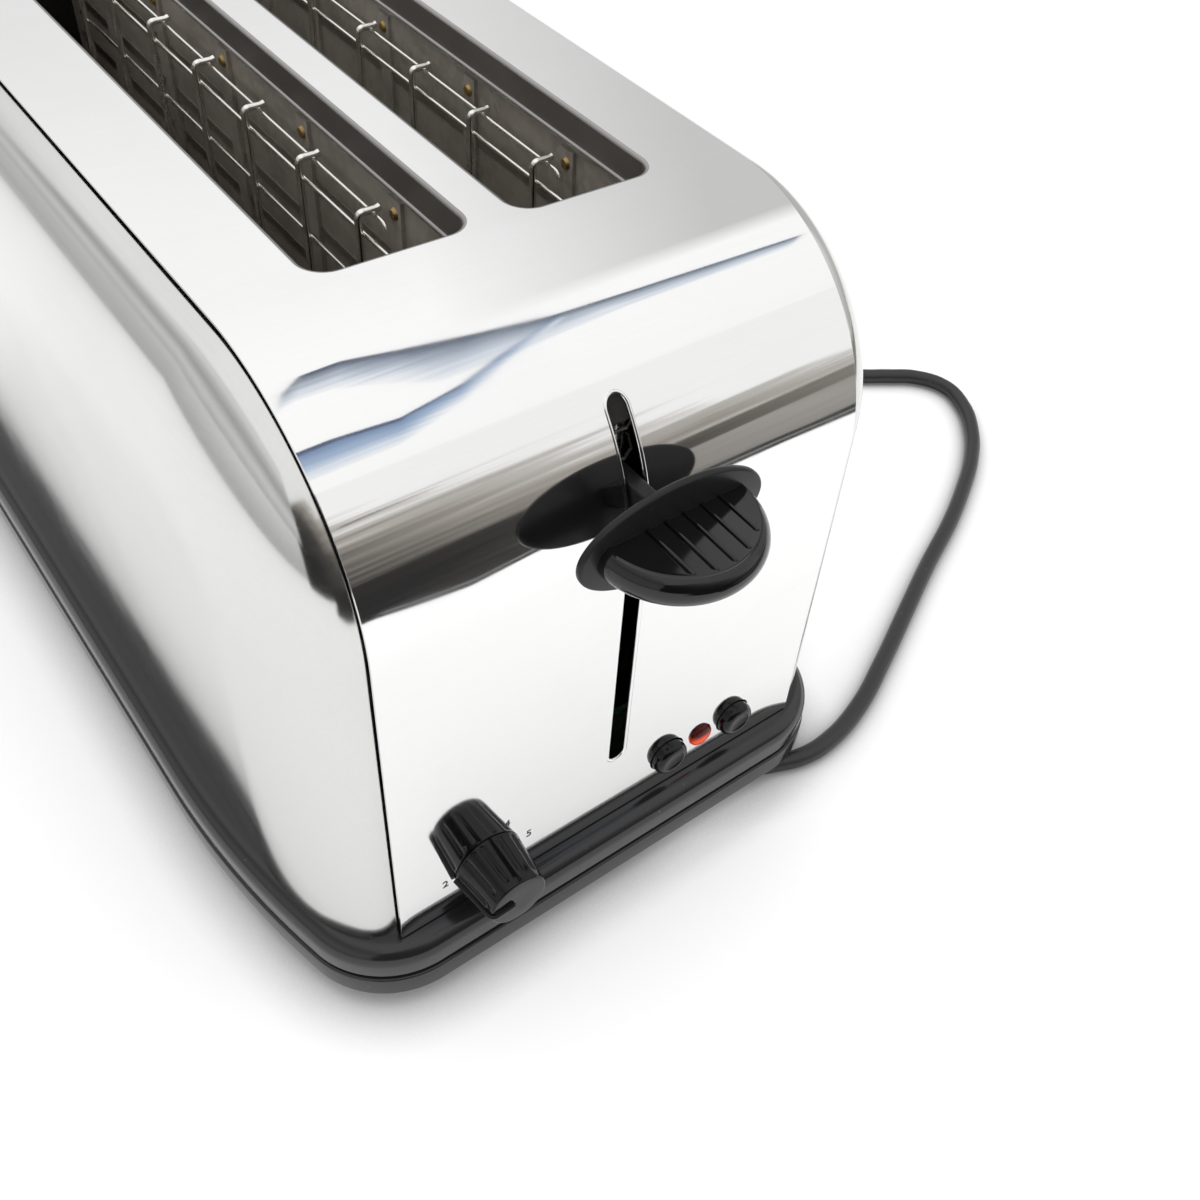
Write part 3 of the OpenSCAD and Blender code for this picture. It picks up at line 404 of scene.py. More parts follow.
    @classmethod
    def sweep_round(cls, name: str, profile: Sequence, middle: Sequence, half: Sequence,
                    corner: Sequence) -> Piece:
        """Sweeps a profile round a rectangle with round corners, by turns of extrude and spin.

        Args:
            name: Name of the object.
            profile: Points as distance out and height.
            middle: Middle of the rectangle in plan.
            half: Its half width and half length.
            corner: Arcs of a corner from the long side on, each as radius, degrees and steps.

        Returns:
            The swept ring.
        """
        last = corner[0][0]
        centre = Vector((half[0] - last, 0.0))
        turned = 0.0
        arcs = []
        for radius, degrees, steps in corner:
            centre = centre + Vector((math.cos(turned), math.sin(turned))) * (last - radius)
            arcs.append((centre, math.radians(degrees), steps))
            turned += math.radians(degrees)
            last = radius
        side = half[1] - last - centre.y
        end = centre.x
        edge = middle[0] + half[0]
        obj = cls.outline(name, [(edge + out, middle[1] - side, height) for out, height in profile])
        legs = ((1, 1, (0, 2 * side, 0)), (-1, 1, (-2 * end, 0, 0)),
                (-1, -1, (0, -2 * side, 0)), (1, -1, (2 * end, 0, 0)))
        with cls.editing(obj, everything=True):
            for x, y, move in legs:
                bpy.ops.mesh.extrude_region_move(TRANSFORM_OT_translate={"value": move})
                for pivot, angle, steps in (arcs if x == y else reversed(arcs)):
                    bpy.ops.mesh.spin(steps=steps, angle=-angle, axis=(0, 0, 1), center=(
                        middle[0] + x * pivot.x, middle[1] + y * (pivot.y + side), 0))
        cls.weld(obj)
        return obj

    @classmethod
    def wires(cls, name: str, routes: Sequence, radius: float, fineness: int = 3, shade: float = 50,
              curved: bool = False) -> Piece:
        """Makes round wires along routes and turns them into one mesh.

        Args:
            name: Name of the object.
            routes: One list of points for each wire.
            radius: Radius of the wire.
            fineness: Steps in a quarter of its section, and between two points of a curved wire.
            shade: Least angle of an edge that stays sharp, in degrees.
            curved: Whether the wire bends smoothly from point to point.

        Returns:
            The wires.
        """
        curve = bpy.data.curves.new(name, "CURVE")
        curve.dimensions = "3D"
        curve.bevel_depth = radius
        curve.bevel_resolution = fineness
        curve.resolution_u = fineness
        curve.use_fill_caps = True
        for route in routes:
            spline = curve.splines.new("BEZIER" if curved else "POLY")
            knots = spline.bezier_points if curved else spline.points
            knots.add(len(route) - 1)
            for knot, place in zip(knots, route):
                knot.co = place if curved else (*place, 1.0)
                if curved:
                    knot.handle_left_type = "AUTO"
                    knot.handle_right_type = "AUTO"
        obj = bpy.data.objects.new(name, curve)
        bpy.context.scene.collection.objects.link(obj)
        cls.alone(obj)
        bpy.ops.object.convert(target="MESH")
        made = cls.settle(name)
        cls.smooth(made, shade)
        return made

    @classmethod
    def smooth(cls, obj: Piece, angle: float) -> None:
        """Shades a piece smooth, with edges sharper than an angle in degrees kept."""
        cls.alone(obj)
        bpy.ops.object.shade_smooth_by_angle(angle=math.radians(angle))


class Tree:
    """Short way to add and join shader nodes."""

    def __init__(self, tree: bpy.types.NodeTree) -> None:
        """Takes the nodes of a material, a world or a group."""
        self.tree = tree

    def feed(self, node: bpy.types.Node, inputs: dict) -> None:
        """Gives a node its inputs.

        Args:
            node: The node.
            inputs: Values or sockets for its inputs, by name or number.
        """
        for key, value in inputs.items():
            if isinstance(value, Socket):
                self.tree.links.new(value, node.inputs[key])
            else:
                node.inputs[key].default_value = value

    def add(self, kind: str, inputs: dict | None = None, **settings: object) -> bpy.types.Node:
        """Adds a node.

        Args:
            kind: Its type.
            inputs: Values or sockets for its inputs, by name or number.
            settings: Values of its properties.

        Returns:
            The node.
        """
        node = self.tree.nodes.new(kind)
        for key, value in settings.items():
            setattr(node, key, value)
        self.feed(node, inputs or {})
        return node

    def math(self, operation: str, first: object, second: object) -> Socket:
        """Adds a math node for two values or sockets."""
        return self.add("ShaderNodeMath", {0: first, 1: second}, operation=operation).outputs[0]

    def place(self) -> Socket:
        """Adds the object's coordinates."""
        return self.add("ShaderNodeTexCoord").outputs["Object"]

    def times(self, place: Socket, factors: object) -> Socket:
        """Adds a product of coordinates, axis by axis."""
        return self.add("ShaderNodeVectorMath", {0: place, 1: factors}, operation="MULTIPLY").outputs[0]

    def noise(self, place: Socket, scale: object, detail: float = 2.0, rough: float = 0.5) -> Socket:
        """Adds a noise of a given fineness."""
        inputs = {"Vector": place, "Scale": scale, "Detail": detail, "Roughness": rough}
        return self.add("ShaderNodeTexNoise", inputs).outputs[0]

    def swing(self, noise: Socket, amount: object) -> Socket:
        """Adds what a noise shifts a value by, up or down."""
        return self.math("MULTIPLY", self.math("SUBTRACT", noise, 0.5), amount)

    def ramp(self, value: Socket, stops: Sequence) -> Socket:
        """Adds a colour ramp.

        Args:
            value: Socket that is looked up.
            stops: Pairs of a place from 0 to 1 and a grey or a colour.

        Returns:
            Its colour output.
        """
        node = self.add("ShaderNodeValToRGB", {"Fac": value})
        band = node.color_ramp
        while len(band.elements) < len(stops):
            band.elements.new(1.0)
        for element, (place, tone) in zip(band.elements, stops):
            element.position = place
            element.color = (*tone, 1) if isinstance(tone, tuple) else (tone, tone, tone, 1)
        return node.outputs["Color"]

    def mix(self, amount: object, first: object, second: object, blend: str = "MIX") -> Socket:
        """Adds a node that mixes two colours, by the share of the second one."""
        return self.add("ShaderNodeMix", {0: amount, 6: first, 7: second}, data_type="RGBA",
                        blend_type=blend).outputs[2]


class Effects:
    """Node groups that several finishes share. Each one is made once."""

    DUST: ClassVar[tuple] = (0.33, 0.32, 0.3, 1)
    FLAKE: ClassVar[tuple] = (0.42, 0.4, 0.36, 1)

    @staticmethod
    def _group(name: str, **inputs: object) -> tuple:
        """Starts a node group with the shared outputs.

        Args:
            name: Name of the group.
            inputs: Default value of each input: a number, three for a vector or four for a colour.

        Returns:
            The tree helper and the sockets of the inputs.
        """
        group = bpy.data.node_groups.new(name, "ShaderNodeTree")
        for title, value in inputs.items():
            count = len(value) if isinstance(value, tuple) else 1
            kind = {1: "NodeSocketFloat", 3: "NodeSocketVector", 4: "NodeSocketColor"}[count]
            group.interface.new_socket(title, in_out="INPUT", socket_type=kind).default_value = value
        for title, kind in (("Color", "Color"), ("Roughness", "Float"), ("Height", "Float")):
            group.interface.new_socket(title, in_out="OUTPUT", socket_type=f"NodeSocket{kind}")
        tree = Tree(group)
        return tree, tree.add("NodeGroupInput").outputs

    @staticmethod
    @cache
    def sheet() -> bpy.types.NodeTree:
        """Sheet or wire of metal: brush lines one way and hazy smudges.

        Returns:
            The node group.
        """
        tree, given = Effects._group("metal_sheet", Color=(0.8, 0.8, 0.8, 1), Roughness=0.2,
                                     Grain=(100, 1000, 1000), Lines=0.1, Haze=0.1)
        place = tree.place()
        lines = tree.noise(tree.times(place, given["Grain"]), scale=1.0, detail=3.0)
        blotch = tree.noise(place, scale=22.0, detail=5.0, rough=0.62)
        smudge = tree.math("MULTIPLY", tree.ramp(blotch, ((0.45, 0.0), (0.75, 1.0))), given["Haze"])
        streak = tree.swing(lines, given["Lines"])
        tone = tree.math("ADD", tree.math("SUBTRACT", 1.0, tree.math("MULTIPLY", smudge, 0.5)), streak)
        shade = tree.add("ShaderNodeCombineColor", {0: tone, 1: tone, 2: tone}).outputs[0]
        rough = tree.math("ADD", tree.math("ADD", given["Roughness"], smudge), streak)
        tree.add("NodeGroupOutput", {"Color": tree.mix(1.0, given["Color"], shade, "MULTIPLY"),
                                     "Roughness": tree.math("MAXIMUM", rough, 0.02), "Height": lines})
        return tree.tree

    @staticmethod
    @cache
    def moulded() -> bpy.types.NodeTree:
        """Moulded plastic or rubber: fine grain, soft smears and specks of dust.

        Returns:
            The node group.
        """
        tree, given = Effects._group("moulded", Color=(0.02, 0.02, 0.02, 1), Roughness=0.3, Grain=900.0,
                                     Smear=0.1, Dust=0.5)
        place = tree.place()
        grain = tree.noise(place, given["Grain"])
        smear = tree.noise(place, scale=55.0, detail=4.0)
        cells = tree.add("ShaderNodeTexVoronoi", {"Vector": place, "Scale": 330.0}).outputs["Distance"]
        dots = tree.math("MULTIPLY", tree.ramp(cells, ((0.05, 1.0), (0.11, 0.0))),
                         tree.ramp(tree.noise(place, scale=120.0), ((0.56, 0.0), (0.62, 1.0))))
        dust = tree.math("MULTIPLY", dots, given["Dust"])
        change = tree.swing(smear, given["Smear"])
        rough = tree.math("ADD", tree.math("ADD", given["Roughness"], change), dust)
        tree.add("NodeGroupOutput", {"Color": tree.mix(dust, given["Color"], Effects.DUST),
                                     "Roughness": tree.math("MAXIMUM", rough, 0.03), "Height": grain})
        return tree.tree

    @staticmethod
    @cache
    def flaky() -> bpy.types.NodeTree:
        """Mica and circuit board: flakes, mottled tone and heat stains.

        Returns:
            The node group.
        """
        tree, given = Effects._group("flaky", Color=(0.3, 0.25, 0.2, 1), Roughness=0.5,
                                     Stain=(0.1, 0.08, 0.06, 1), Flakes=300.0)
        place = tree.place()
        cells = tree.add("ShaderNodeTexVoronoi", {"Vector": place, "Scale": given["Flakes"]})
        flake = tree.add("ShaderNodeSeparateColor", {0: cells.outputs["Color"]}).outputs[0]
        mottle = tree.ramp(tree.noise(place, scale=35.0, detail=5.0), ((0.35, 0.0), (0.7, 0.8)))
        stained = tree.mix(mottle, given["Color"], given["Stain"])
        rough = tree.math("ADD", given["Roughness"], tree.math("MULTIPLY", flake, 0.2))
        color = tree.mix(tree.math("MULTIPLY", flake, 0.3), stained, Effects.FLAKE)
        tree.add("NodeGroupOutput", {"Color": color, "Roughness": rough, "Height": flake})
        return tree.tree


@dataclass(frozen=True)
class Finish:
    """Look of one material slot.

    Attributes:
        slot: Slot of the record.
        group: Maker of the shared node group.
        color: Base colour.
        roughness: Base roughness.
        extra: Other inputs of the group.
        metallic: 1 for bare metal.
        bump: Strength of the relief.
        depth: Depth of the relief in metres.
        fade: Painted shade: lower height, upper height and the colour that it fades to above them, or
            nothing.
        specular: Strength of the surface reflection.
        title: Name of the material, where it isn't the slot's only look.
    """

    slot: Slot
    group: Callable[[], bpy.types.NodeTree]
    color: tuple
    roughness: float
    extra: dict
    metallic: float = 0.0
    bump: float = 0.1
    depth: float = 0.02 * MM
    fade: tuple = ()
    specular: float = 0.5
    title: str = ""

    def name(self) -> str:
        """Name of the material."""
        return self.title or self.slot.value

    def material(self) -> bpy.types.Material:
        """Makes the Blender material.

        Returns:
            The material.
        """
        made = bpy.data.materials.new(self.name())
        made.use_nodes = True
        tree = Tree(made.node_tree)
        group = tree.add("ShaderNodeGroup", node_tree=self.group())
        tree.feed(group, {"Color": (*self.color, 1), "Roughness": self.roughness, **self.extra})
        # Painted shade: the colour fades by height to the given colour.
        if self.fade:
            low, high, color = self.fade
            height = tree.add("ShaderNodeSeparateXYZ", {0: tree.place()}).outputs["Z"]
            share = tree.add("ShaderNodeMapRange", {0: height, 1: low, 2: high}).outputs[0]
            tree.feed(group, {"Color": tree.mix(share, (*self.color, 1), (*color, 1))})
        bump = tree.add("ShaderNodeBump", {"Strength": self.bump, "Distance": self.depth,
                                           "Height": group.outputs["Height"]})
        tree.feed(made.node_tree.nodes["Principled BSDF"], {
            "Base Color": group.outputs["Color"], "Roughness": group.outputs["Roughness"],
            "Normal": bump.outputs["Normal"], "Metallic": self.metallic,
            "Specular IOR Level": self.specular})
        return made


def metal(slot: Slot, color: tuple, roughness: float, grain: tuple, lines: float, haze: float,
          bump: float, title: str = "") -> Finish:
    """Describes a metal by its brush lines across a metre of each axis, their strength and its haze."""
    extra = {"Grain": grain, "Lines": lines, "Haze": haze}
    return Finish(slot, Effects.sheet, color, roughness, extra, metallic=1.0, bump=bump, title=title)


def plastic(slot: Slot, color: tuple, roughness: float, grain: float, smear: float, dust: float,
            bump: float, **others: object) -> Finish:
    """Describes a moulding by the fineness of its grain and the strength of smears and dust."""
    extra = {"Grain": grain, "Smear": smear, "Dust": dust}
    return Finish(slot, Effects.moulded, color, roughness, extra, bump=bump, **others)


def flaked(slot: Slot, color: tuple, stain: tuple, roughness: float, flakes: float) -> Finish:
    """Describes a flaky finish by the colour of its stains and the fineness of its flakes."""
    return Finish(slot, Effects.flaky, color, roughness, {"Stain": (*stain, 1), "Flakes": flakes}, bump=0.2)


class FinishBook:
    """All finishes, each made into a material when it is first used."""

    KNOB: ClassVar[Finish] = plastic(Slot.GLOSS, (0.004, 0.004, 0.0045), 0.09, 1500, 0.05, 0.15, 0.02,
                                     specular=0.28, title="knob_gloss")
    PADDLE: ClassVar[Finish] = replace(KNOB, specular=0.5, title="paddle_gloss")
    # Painted shade: a darker, rougher copy of the polished steel, which makes the slot lips look dark.
    LIP: ClassVar[Finish] = metal(Slot.POLISHED, (0.36, 0.35, 0.34), 0.3, (25, 1500, 1500), 0.05, 0.1, 0.02,
                                  title="lip_steel")
    # Painted shade: a near-black copy of the plated steel, which makes the inside of the slots look dark.
    INNER: ClassVar[Finish] = metal(Slot.PLATED, (0.07, 0.068, 0.065), 0.5, (900, 900, 40), 0.1, 0.2, 0.1,
                                    title="inner_steel")
    FINISHES: ClassVar[tuple] = (
        metal(Slot.POLISHED, (0.86, 0.86, 0.855), 0.05, (25, 1500, 1500), 0.03, 0.05, 0.02),
        metal(Slot.SATIN, (0.67, 0.67, 0.655), 0.12, (1400, 18, 1400), 0.07, 0.05, 0.05),
        plastic(Slot.GLOSS, (0.013, 0.013, 0.014), 0.15, 1500, 0.1, 0.3, 0.02),
        plastic(Slot.BLACK, (0.011, 0.011, 0.0115), 0.3, 2200, 0.1, 0.2, 0.12, specular=0.25),
        plastic(Slot.RUBBER, (0.018, 0.018, 0.018), 0.62, 1600, 0.15, 0.5, 0.25),
        metal(Slot.PLATED, (0.3, 0.29, 0.27), 0.34, (900, 900, 40), 0.12, 0.2, 0.1),
        metal(Slot.WIRE, (0.86, 0.84, 0.8), 0.2, (700, 700, 700), 0.1, 0.12, 0.08),
        flaked(Slot.MICA, (0.3, 0.265, 0.225), (0.17, 0.15, 0.125), 0.5, 420),
        metal(Slot.RIBBON, (0.42, 0.38, 0.34), 0.42, (900, 60, 900), 0.2, 0.3, 0.1),
        metal(Slot.BRASS, (0.42, 0.29, 0.12), 0.36, (800, 800, 800), 0.12, 0.2, 0.1),
        metal(Slot.COPPER, (0.72, 0.33, 0.16), 0.3, (2600, 2600, 60), 0.25, 0.15, 0.3),
        flaked(Slot.BOARD, (0.03, 0.14, 0.06), (0.02, 0.09, 0.05), 0.4, 700),
        plastic(Slot.COMPONENT, (0.03, 0.03, 0.032), 0.45, 1800, 0.1, 0.2, 0.15),
        plastic(Slot.PALE, (0.62, 0.6, 0.54), 0.45, 1500, 0.12, 0.1, 0.1),
        # The lens fades to a dark red in its upper part, as painted shade.
        plastic(Slot.LENS, (0.92, 0.075, 0.012), 0.12, 600, 0.04, 0.05, 0.02, specular=0.2,
                fade=(40.9 * MM, 42.8 * MM, (0.05, 0.005, 0.003))),
        plastic(Slot.CORD, (0.016, 0.016, 0.017), 0.4, 1300, 0.16, 0.35, 0.16),
    )

    def __init__(self) -> None:
        """Sorts the finishes by slot."""
        self.by_slot = {finish.slot: finish for finish in self.FINISHES}
        self.made: dict = {}

    def material(self, look: Slot | Finish) -> bpy.types.Material:
        """Material of a slot or of a finish of its own.

        Args:
            look: Slot of the record, or a finish.

        Returns:
            The material, the same one each time.
        """
        finish = look if isinstance(look, Finish) else self.by_slot[look]
        if finish.name() not in self.made:
            self.made[finish.name()] = finish.material()
        return self.made[finish.name()]

    def put(self, obj: Piece, look: Slot | Finish) -> None:
        """Gives an object its finish.

        Args:
            obj: Object that is dressed.
            look: Slot of the record, or a finish.
        """
        obj.data.materials.clear()
        obj.data.materials.append(self.material(look))


@dataclass
class Assembly:
    """A group of pieces that are modelled and dressed together."""

    BODY: ClassVar[str] = "housing"
    made: list = field(default_factory=list, init=False)

    def keep(self, obj: Piece, look: Slot | Finish, *nodes: str, body: str | None = None,
             shade: float | None = None) -> Piece:
        """Puts a finished piece on its CAD body.

        Args:
            obj: The piece.
            look: Its material slot, or a finish of its own.
            nodes: CAD nodes that it stands for.
            body: CAD body, where it isn't the assembly's own.
            shade: Least angle of a sharp edge in degrees, where it isn't shaded yet.

        Returns:
            The piece.
        """
        if shade:
            Bench.smooth(obj, shade)
        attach(obj, body or self.BODY)
        if nodes:
            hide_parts(*nodes)
        self.made.append((obj, look))
        LOG.info("%s rides on %s", obj.name, body or self.BODY)
        return obj

    def build(self) -> None:
        """Models the pieces."""
        raise NotImplementedError

    def dress(self, book: FinishBook) -> None:
        """Gives the pieces their finishes from the book."""
        for obj, look in self.made:
            book.put(obj, look)


@dataclass
class Wrap(Assembly):
    """Polished sheet: front panel, top with two bread slots, rear panel."""

    end_radius: float = 55 * MM
    end_steps: int = 90
    sheet: float = 0.8 * MM
    slot_x: float = 25.75 * MM
    slot_y: float = 10 * MM
    slot_half: tuple = (19.5 * MM, 133 * MM)
    slot_corner: float = 6 * MM
    slot_steps: int = 16
    fold: float = 1.1 * MM
    lip: float = 9.5 * MM
    hem: float = 0.8 * MM
    lever_slot: tuple = (54 * MM, 171.9 * MM, 5.4 * MM)
    control_z: float = 41.2 * MM
    holes: tuple = ((-42 * MM, 4.4 * MM), (19.5 * MM, 6.15 * MM), (44.5 * MM, 6.15 * MM),
                    (32 * MM, 4.0 * MM))
    over: float = 5 * MM
    hole_depth: float = 8 * MM
    edge: float = 0.25 * MM
    bead: float = 0.6 * MM
    bead_depth: float = 0.42 * MM
    bead_out: float = 0.35 * MM
    bead_steps: int = 40
    lift: float = 0.6 * MM
    bead_in: float = 0.9 * MM

    def build(self) -> None:
        """Models the sheet and the lips of its slots."""
        low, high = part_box("body_wrap")
        wrap = Bench.box("wrap_sheet", low + Vector((0, 0, self.lift)), high)
        with Bench.editing(wrap):
            Bench.pick(wrap, Pick.FACE, lambda at, normal: abs(normal.x) > ALONG or normal.z < -ALONG)
            bpy.ops.mesh.delete(type="FACE")
            Bench.pick(wrap, Pick.EDGE, lambda at, way: at.z > high.z - HAIR and abs(way.x) > ALONG)
            Bench.bevel(self.end_radius, self.end_steps)
        Bench.thicken(wrap, self.sheet)
        Bench.cut(wrap, *self._cutters(low.y, high.z))
        Bench.soften(wrap, self.edge)
        Bench.smooth(wrap, angle=20)
        wrap = Bench.join("wrap_sheet", wrap, self._bead(low.y, high.z))
        self.keep(wrap, Slot.POLISHED, "body_wrap")
        lips = [self._lip(side, high.z) for side in (-1, 1)]
        # The lips get the darker copy of the polished steel, as painted shade.
        self.keep(Bench.join("slot_lips", *lips), FinishBook.LIP)

    def dress(self, book: FinishBook) -> None:
        """Gives the sheet and the lips their finishes, and the folded hems the bright wire finish as a
        painted highlight.

        Args:
            book: The finishes.
        """
        super().dress(book)
        lips = self.made[-1][0]
        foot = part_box("body_wrap")[1].z - self.lip + self.hem
        # Painted highlight: the faces of the hems get the bright wire steel, so that they show as a bright
        # line.
        lips.data.materials.append(book.material(Slot.WIRE))
        with Bench.editing(lips):
            Bench.pick(lips, Pick.FACE, lambda at, normal: at.z < foot)
            lips.active_material_index = 1
            bpy.ops.object.material_slot_assign()

    def _bead(self, front: float, top: float) -> Piece:
        """Models the turned edge of the lever's slot, on the flat panel and on the curve.

        Args:
            front: Place of the front panel along Y.
            top: Height of the top.

        Returns:
            The edge as a round bead.
        """
        low_z, high_z, width = self.lever_slot
        radius = width / 2 + self.bead_out
        ends = (high_z - width / 2, low_z + width / 2)
        plan = []
        for side, start, end in ((1, *ends), (-1, *reversed(ends))):
            plan += arc((0, start), radius, 90 + 90 * side, 90 * side - 90, steps=16)
            shares = [k / self.bead_steps for k in range(1, self.bead_steps)]
            plan += [(side * radius, start + (end - start) * share) for share in shares]
        bend_z = top - self.end_radius
        reach = self.end_radius - self.bead_depth
        route = []
        for x, z in [*plan, plan[0], plan[1]]:
            turn = math.asin(max(z - bend_z, 0.0) / self.end_radius)
            route.append((x, front + self.end_radius - reach * math.cos(turn),
                          min(z, bend_z) + reach * math.sin(turn)))
        return Bench.wires("slot_bead", [route], self.bead, fineness=4)

    def _cutters(self, front: float, top: float) -> list:
        """Shapes of the holes in the sheet.

        Args:
            front: Place of the front panel along Y.
            top: Height of the top.

        Returns:
            The cutters.
        """
        wide, long = (half + self.fold for half in self.slot_half)
        cutters = []
        for x in (-self.slot_x, self.slot_x):
            cutters.append(Bench.round_box(
                "slot_cutter", (x - wide, self.slot_y - long, top - self.over),
                (x + wide, self.slot_y + long, top + self.over), axis=2, radius=self.slot_corner + self.fold,
                steps=self.slot_steps))
        low_z, high_z, width = self.lever_slot
        cutters.append(Bench.round_box(
            "lever_cutter", (-width / 2, front - self.over, low_z),
            (width / 2, front + self.end_radius / 2, high_z), axis=1, radius=width / 2 - SHY, steps=10))
        for x, radius in self.holes:
            cutters.append(Bench.rod("hole_cutter", (x, front, self.control_z), radius, self.hole_depth))
        return cutters

    def _lip(self, side: int, top: float) -> Piece:
        """Models the turned-down lip of one slot.

        Args:
            side: -1 for the left slot, 1 for the right one.
            top: Height of the top.

        Returns:
            The lip.
        """
        foot = top - self.lip + self.hem
        profile = arc((self.fold, top - self.fold), self.fold, 90, 180, steps=6)
        profile += [(0, foot + 2 * self.hem)]
        profile += arc((self.hem - self.bead_in, foot), self.hem, 100, 360, steps=12)
        profile += [(2 * self.hem, top - 2 * self.fold)]
        lip = Bench.sweep_round("slot_lip", profile, (side * self.slot_x, self.slot_y), self.slot_half,
                                ((self.slot_corner, 90, self.slot_steps),))
        Bench.smooth(lip, angle=40)
        return lip


@dataclass
class SidePanels(Assembly):
    """Two dished satin panels, tucked in behind the edges of the wrap."""

    end_radius: float = 55 * MM
    tuck: float = 1.9 * MM
    tuck_in: float = 2.6 * MM
    bulge: float = 19 * MM
    roll: float = 40 * MM
    roll_steps: int = 26
    corner_steps: int = 48
    sheet: float = 0.8 * MM
    below: float = 60 * MM

    def build(self) -> None:
        """Models the right panel and mirrors it."""
        low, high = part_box("right_side_panel")
        seam = low.x - self.tuck_in
        front, rear, top = low.y + self.tuck, high.y - self.tuck, high.z - self.tuck
        Bench.alone()
        bpy.ops.mesh.primitive_plane_add(size=1.0, rotation=(0, math.pi / 2, 0), location=(
            seam, (front + rear) / 2, (low.z - self.below + top) / 2))
        bpy.context.object.scale = (top - low.z + self.below, rear - front, 1)
        panel = Bench.settle("right_panel")
        with Bench.editing(panel):
            Bench.pick(panel, Pick.CORNER, lambda at, normal: at.z > top - HAIR)
            Bench.bevel(self.end_radius - self.tuck, self.corner_steps, corners=True)
            Bench.pick(panel, Pick.FACE, lambda at, normal: True)
            bpy.ops.mesh.inset(thickness=HAIR, depth=self.tuck_in)
            curve = arc((0, 0), (self.roll - self.tuck, self.bulge), 0, 90, self.roll_steps)
            for here, there in zip(curve, curve[1:]):
                bpy.ops.mesh.inset(thickness=here[0] - there[0], depth=there[1] - here[1])
            bpy.ops.mesh.select_all(action="SELECT")
            bpy.ops.mesh.bisect(plane_co=(0, 0, low.z), plane_no=(0, 0, 1), clear_inner=True)
        Bench.thicken(panel, self.sheet)
        self.keep(panel, Slot.SATIN, "right_side_panel", shade=45)
        self.keep(Bench.mirrored(panel, "left_panel"), Slot.SATIN, "left_side_panel")


@dataclass
class Base(Assembly):
    """Black moulding under the body: grooved rim, ledge, floor and the pocket of the lead."""

    corner: tuple = ((300 * MM, 14, 14), (28 * MM, 76, 26))
    wall: float = 2.5 * MM
    deck: float = 15.5 * MM
    groove_drop: float = 11 * MM
    groove: float = 1.4 * MM
    groove_low: float = 0.4
    groove_high: float = 0.3
    lower_edge: float = 1.5 * MM
    set_in: float = 0.4 * MM
    upper_radius: float = 5.5 * MM
    floor_rise: float = 1.5 * MM
    floor_in: float = 0.8
    tray_gap: tuple = (56.4 * MM, 11 * MM, 21.3 * MM)
    tray_cut: tuple = (30 * MM, 5 * MM)
    pocket: tuple = ((14 * MM, -186 * MM), (64 * MM, -174 * MM), 22 * MM)
    hood: float = 0.6 * MM

    def build(self) -> None:
        """Models the rim and the floor."""
        low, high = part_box("base_shell")
        half = ((high.x - low.x) / 2, (high.y - low.y) / 2)
        middle = ((high.x + low.x) / 2, (high.y + low.y) / 2)
        rim = Bench.sweep_round("base_rim", self._profile(low.z, high.z), middle, half, self.corner)
        gap_x, gap_low, gap_high = self.tray_gap
        Bench.cut(rim, Bench.box("tray_cutter", (-gap_x, high.y - self.tray_cut[0], gap_low),
                                 (gap_x, high.y + self.tray_cut[1], gap_high)))
        Bench.smooth(rim, angle=35)
        under = low.z + self.floor_rise
        levels = (under, under + self.wall)
        floor = Bench.sweep_round("base_floor", [(-self.wall * self.floor_in, level) for level in levels],
                                  middle, half, self.corner)
        with Bench.editing(floor):
            for level in levels:
                Bench.pick(floor, Pick.EDGE, lambda at, way: abs(at.z - level) < HAIR)
                bpy.ops.mesh.edge_face_add()
        Bench.weld(floor)
        (x0, y0), (x1, y1), ceiling = self.pocket
        hood = Bench.box("pocket_hood", (x0 - self.wall, y0 - self.hood, under + self.wall / 2),
                         (x1 + self.wall, y1 + self.wall, ceiling + self.wall))
        for piece in (floor, hood):
            Bench.cut(piece, Bench.box("pocket_cutter", (x0, y0, 0), (x1, y1, ceiling)))
        Bench.smooth(floor, angle=30)
        self.keep(Bench.join("base_moulding", rim, floor, hood), Slot.GLOSS, "base_shell")

    def _profile(self, foot: float, ledge: float) -> list:
        """Section of the rim, as distance out and height.

        Args:
            foot: Height of its lower edge.
            ledge: Height of the ledge.

        Returns:
            The closed chain of points.
        """
        line = ledge - self.groove_drop
        edge, groove, upper = self.lower_edge, self.groove, self.upper_radius
        shape = [(-self.wall, foot)]
        shape += arc((-edge, foot + edge), edge, -90, 0, steps=6)
        shape += arc((-groove / 2, line - groove), groove / 2, 0, 90, steps=4)
        shape += [(-groove, line - groove * self.groove_low), (-groove, line + groove * self.groove_high)]
        shape += arc((-self.set_in - groove / 2, line + groove), groove / 2, -90, 0, steps=4)
        shape += arc((-self.set_in - upper, ledge - upper), upper, 0, 90, steps=14)
        shape += [(-self.deck, ledge), (-self.deck, ledge - self.wall), (-self.wall, ledge - self.wall)]
        return [*shape, shape[0]]


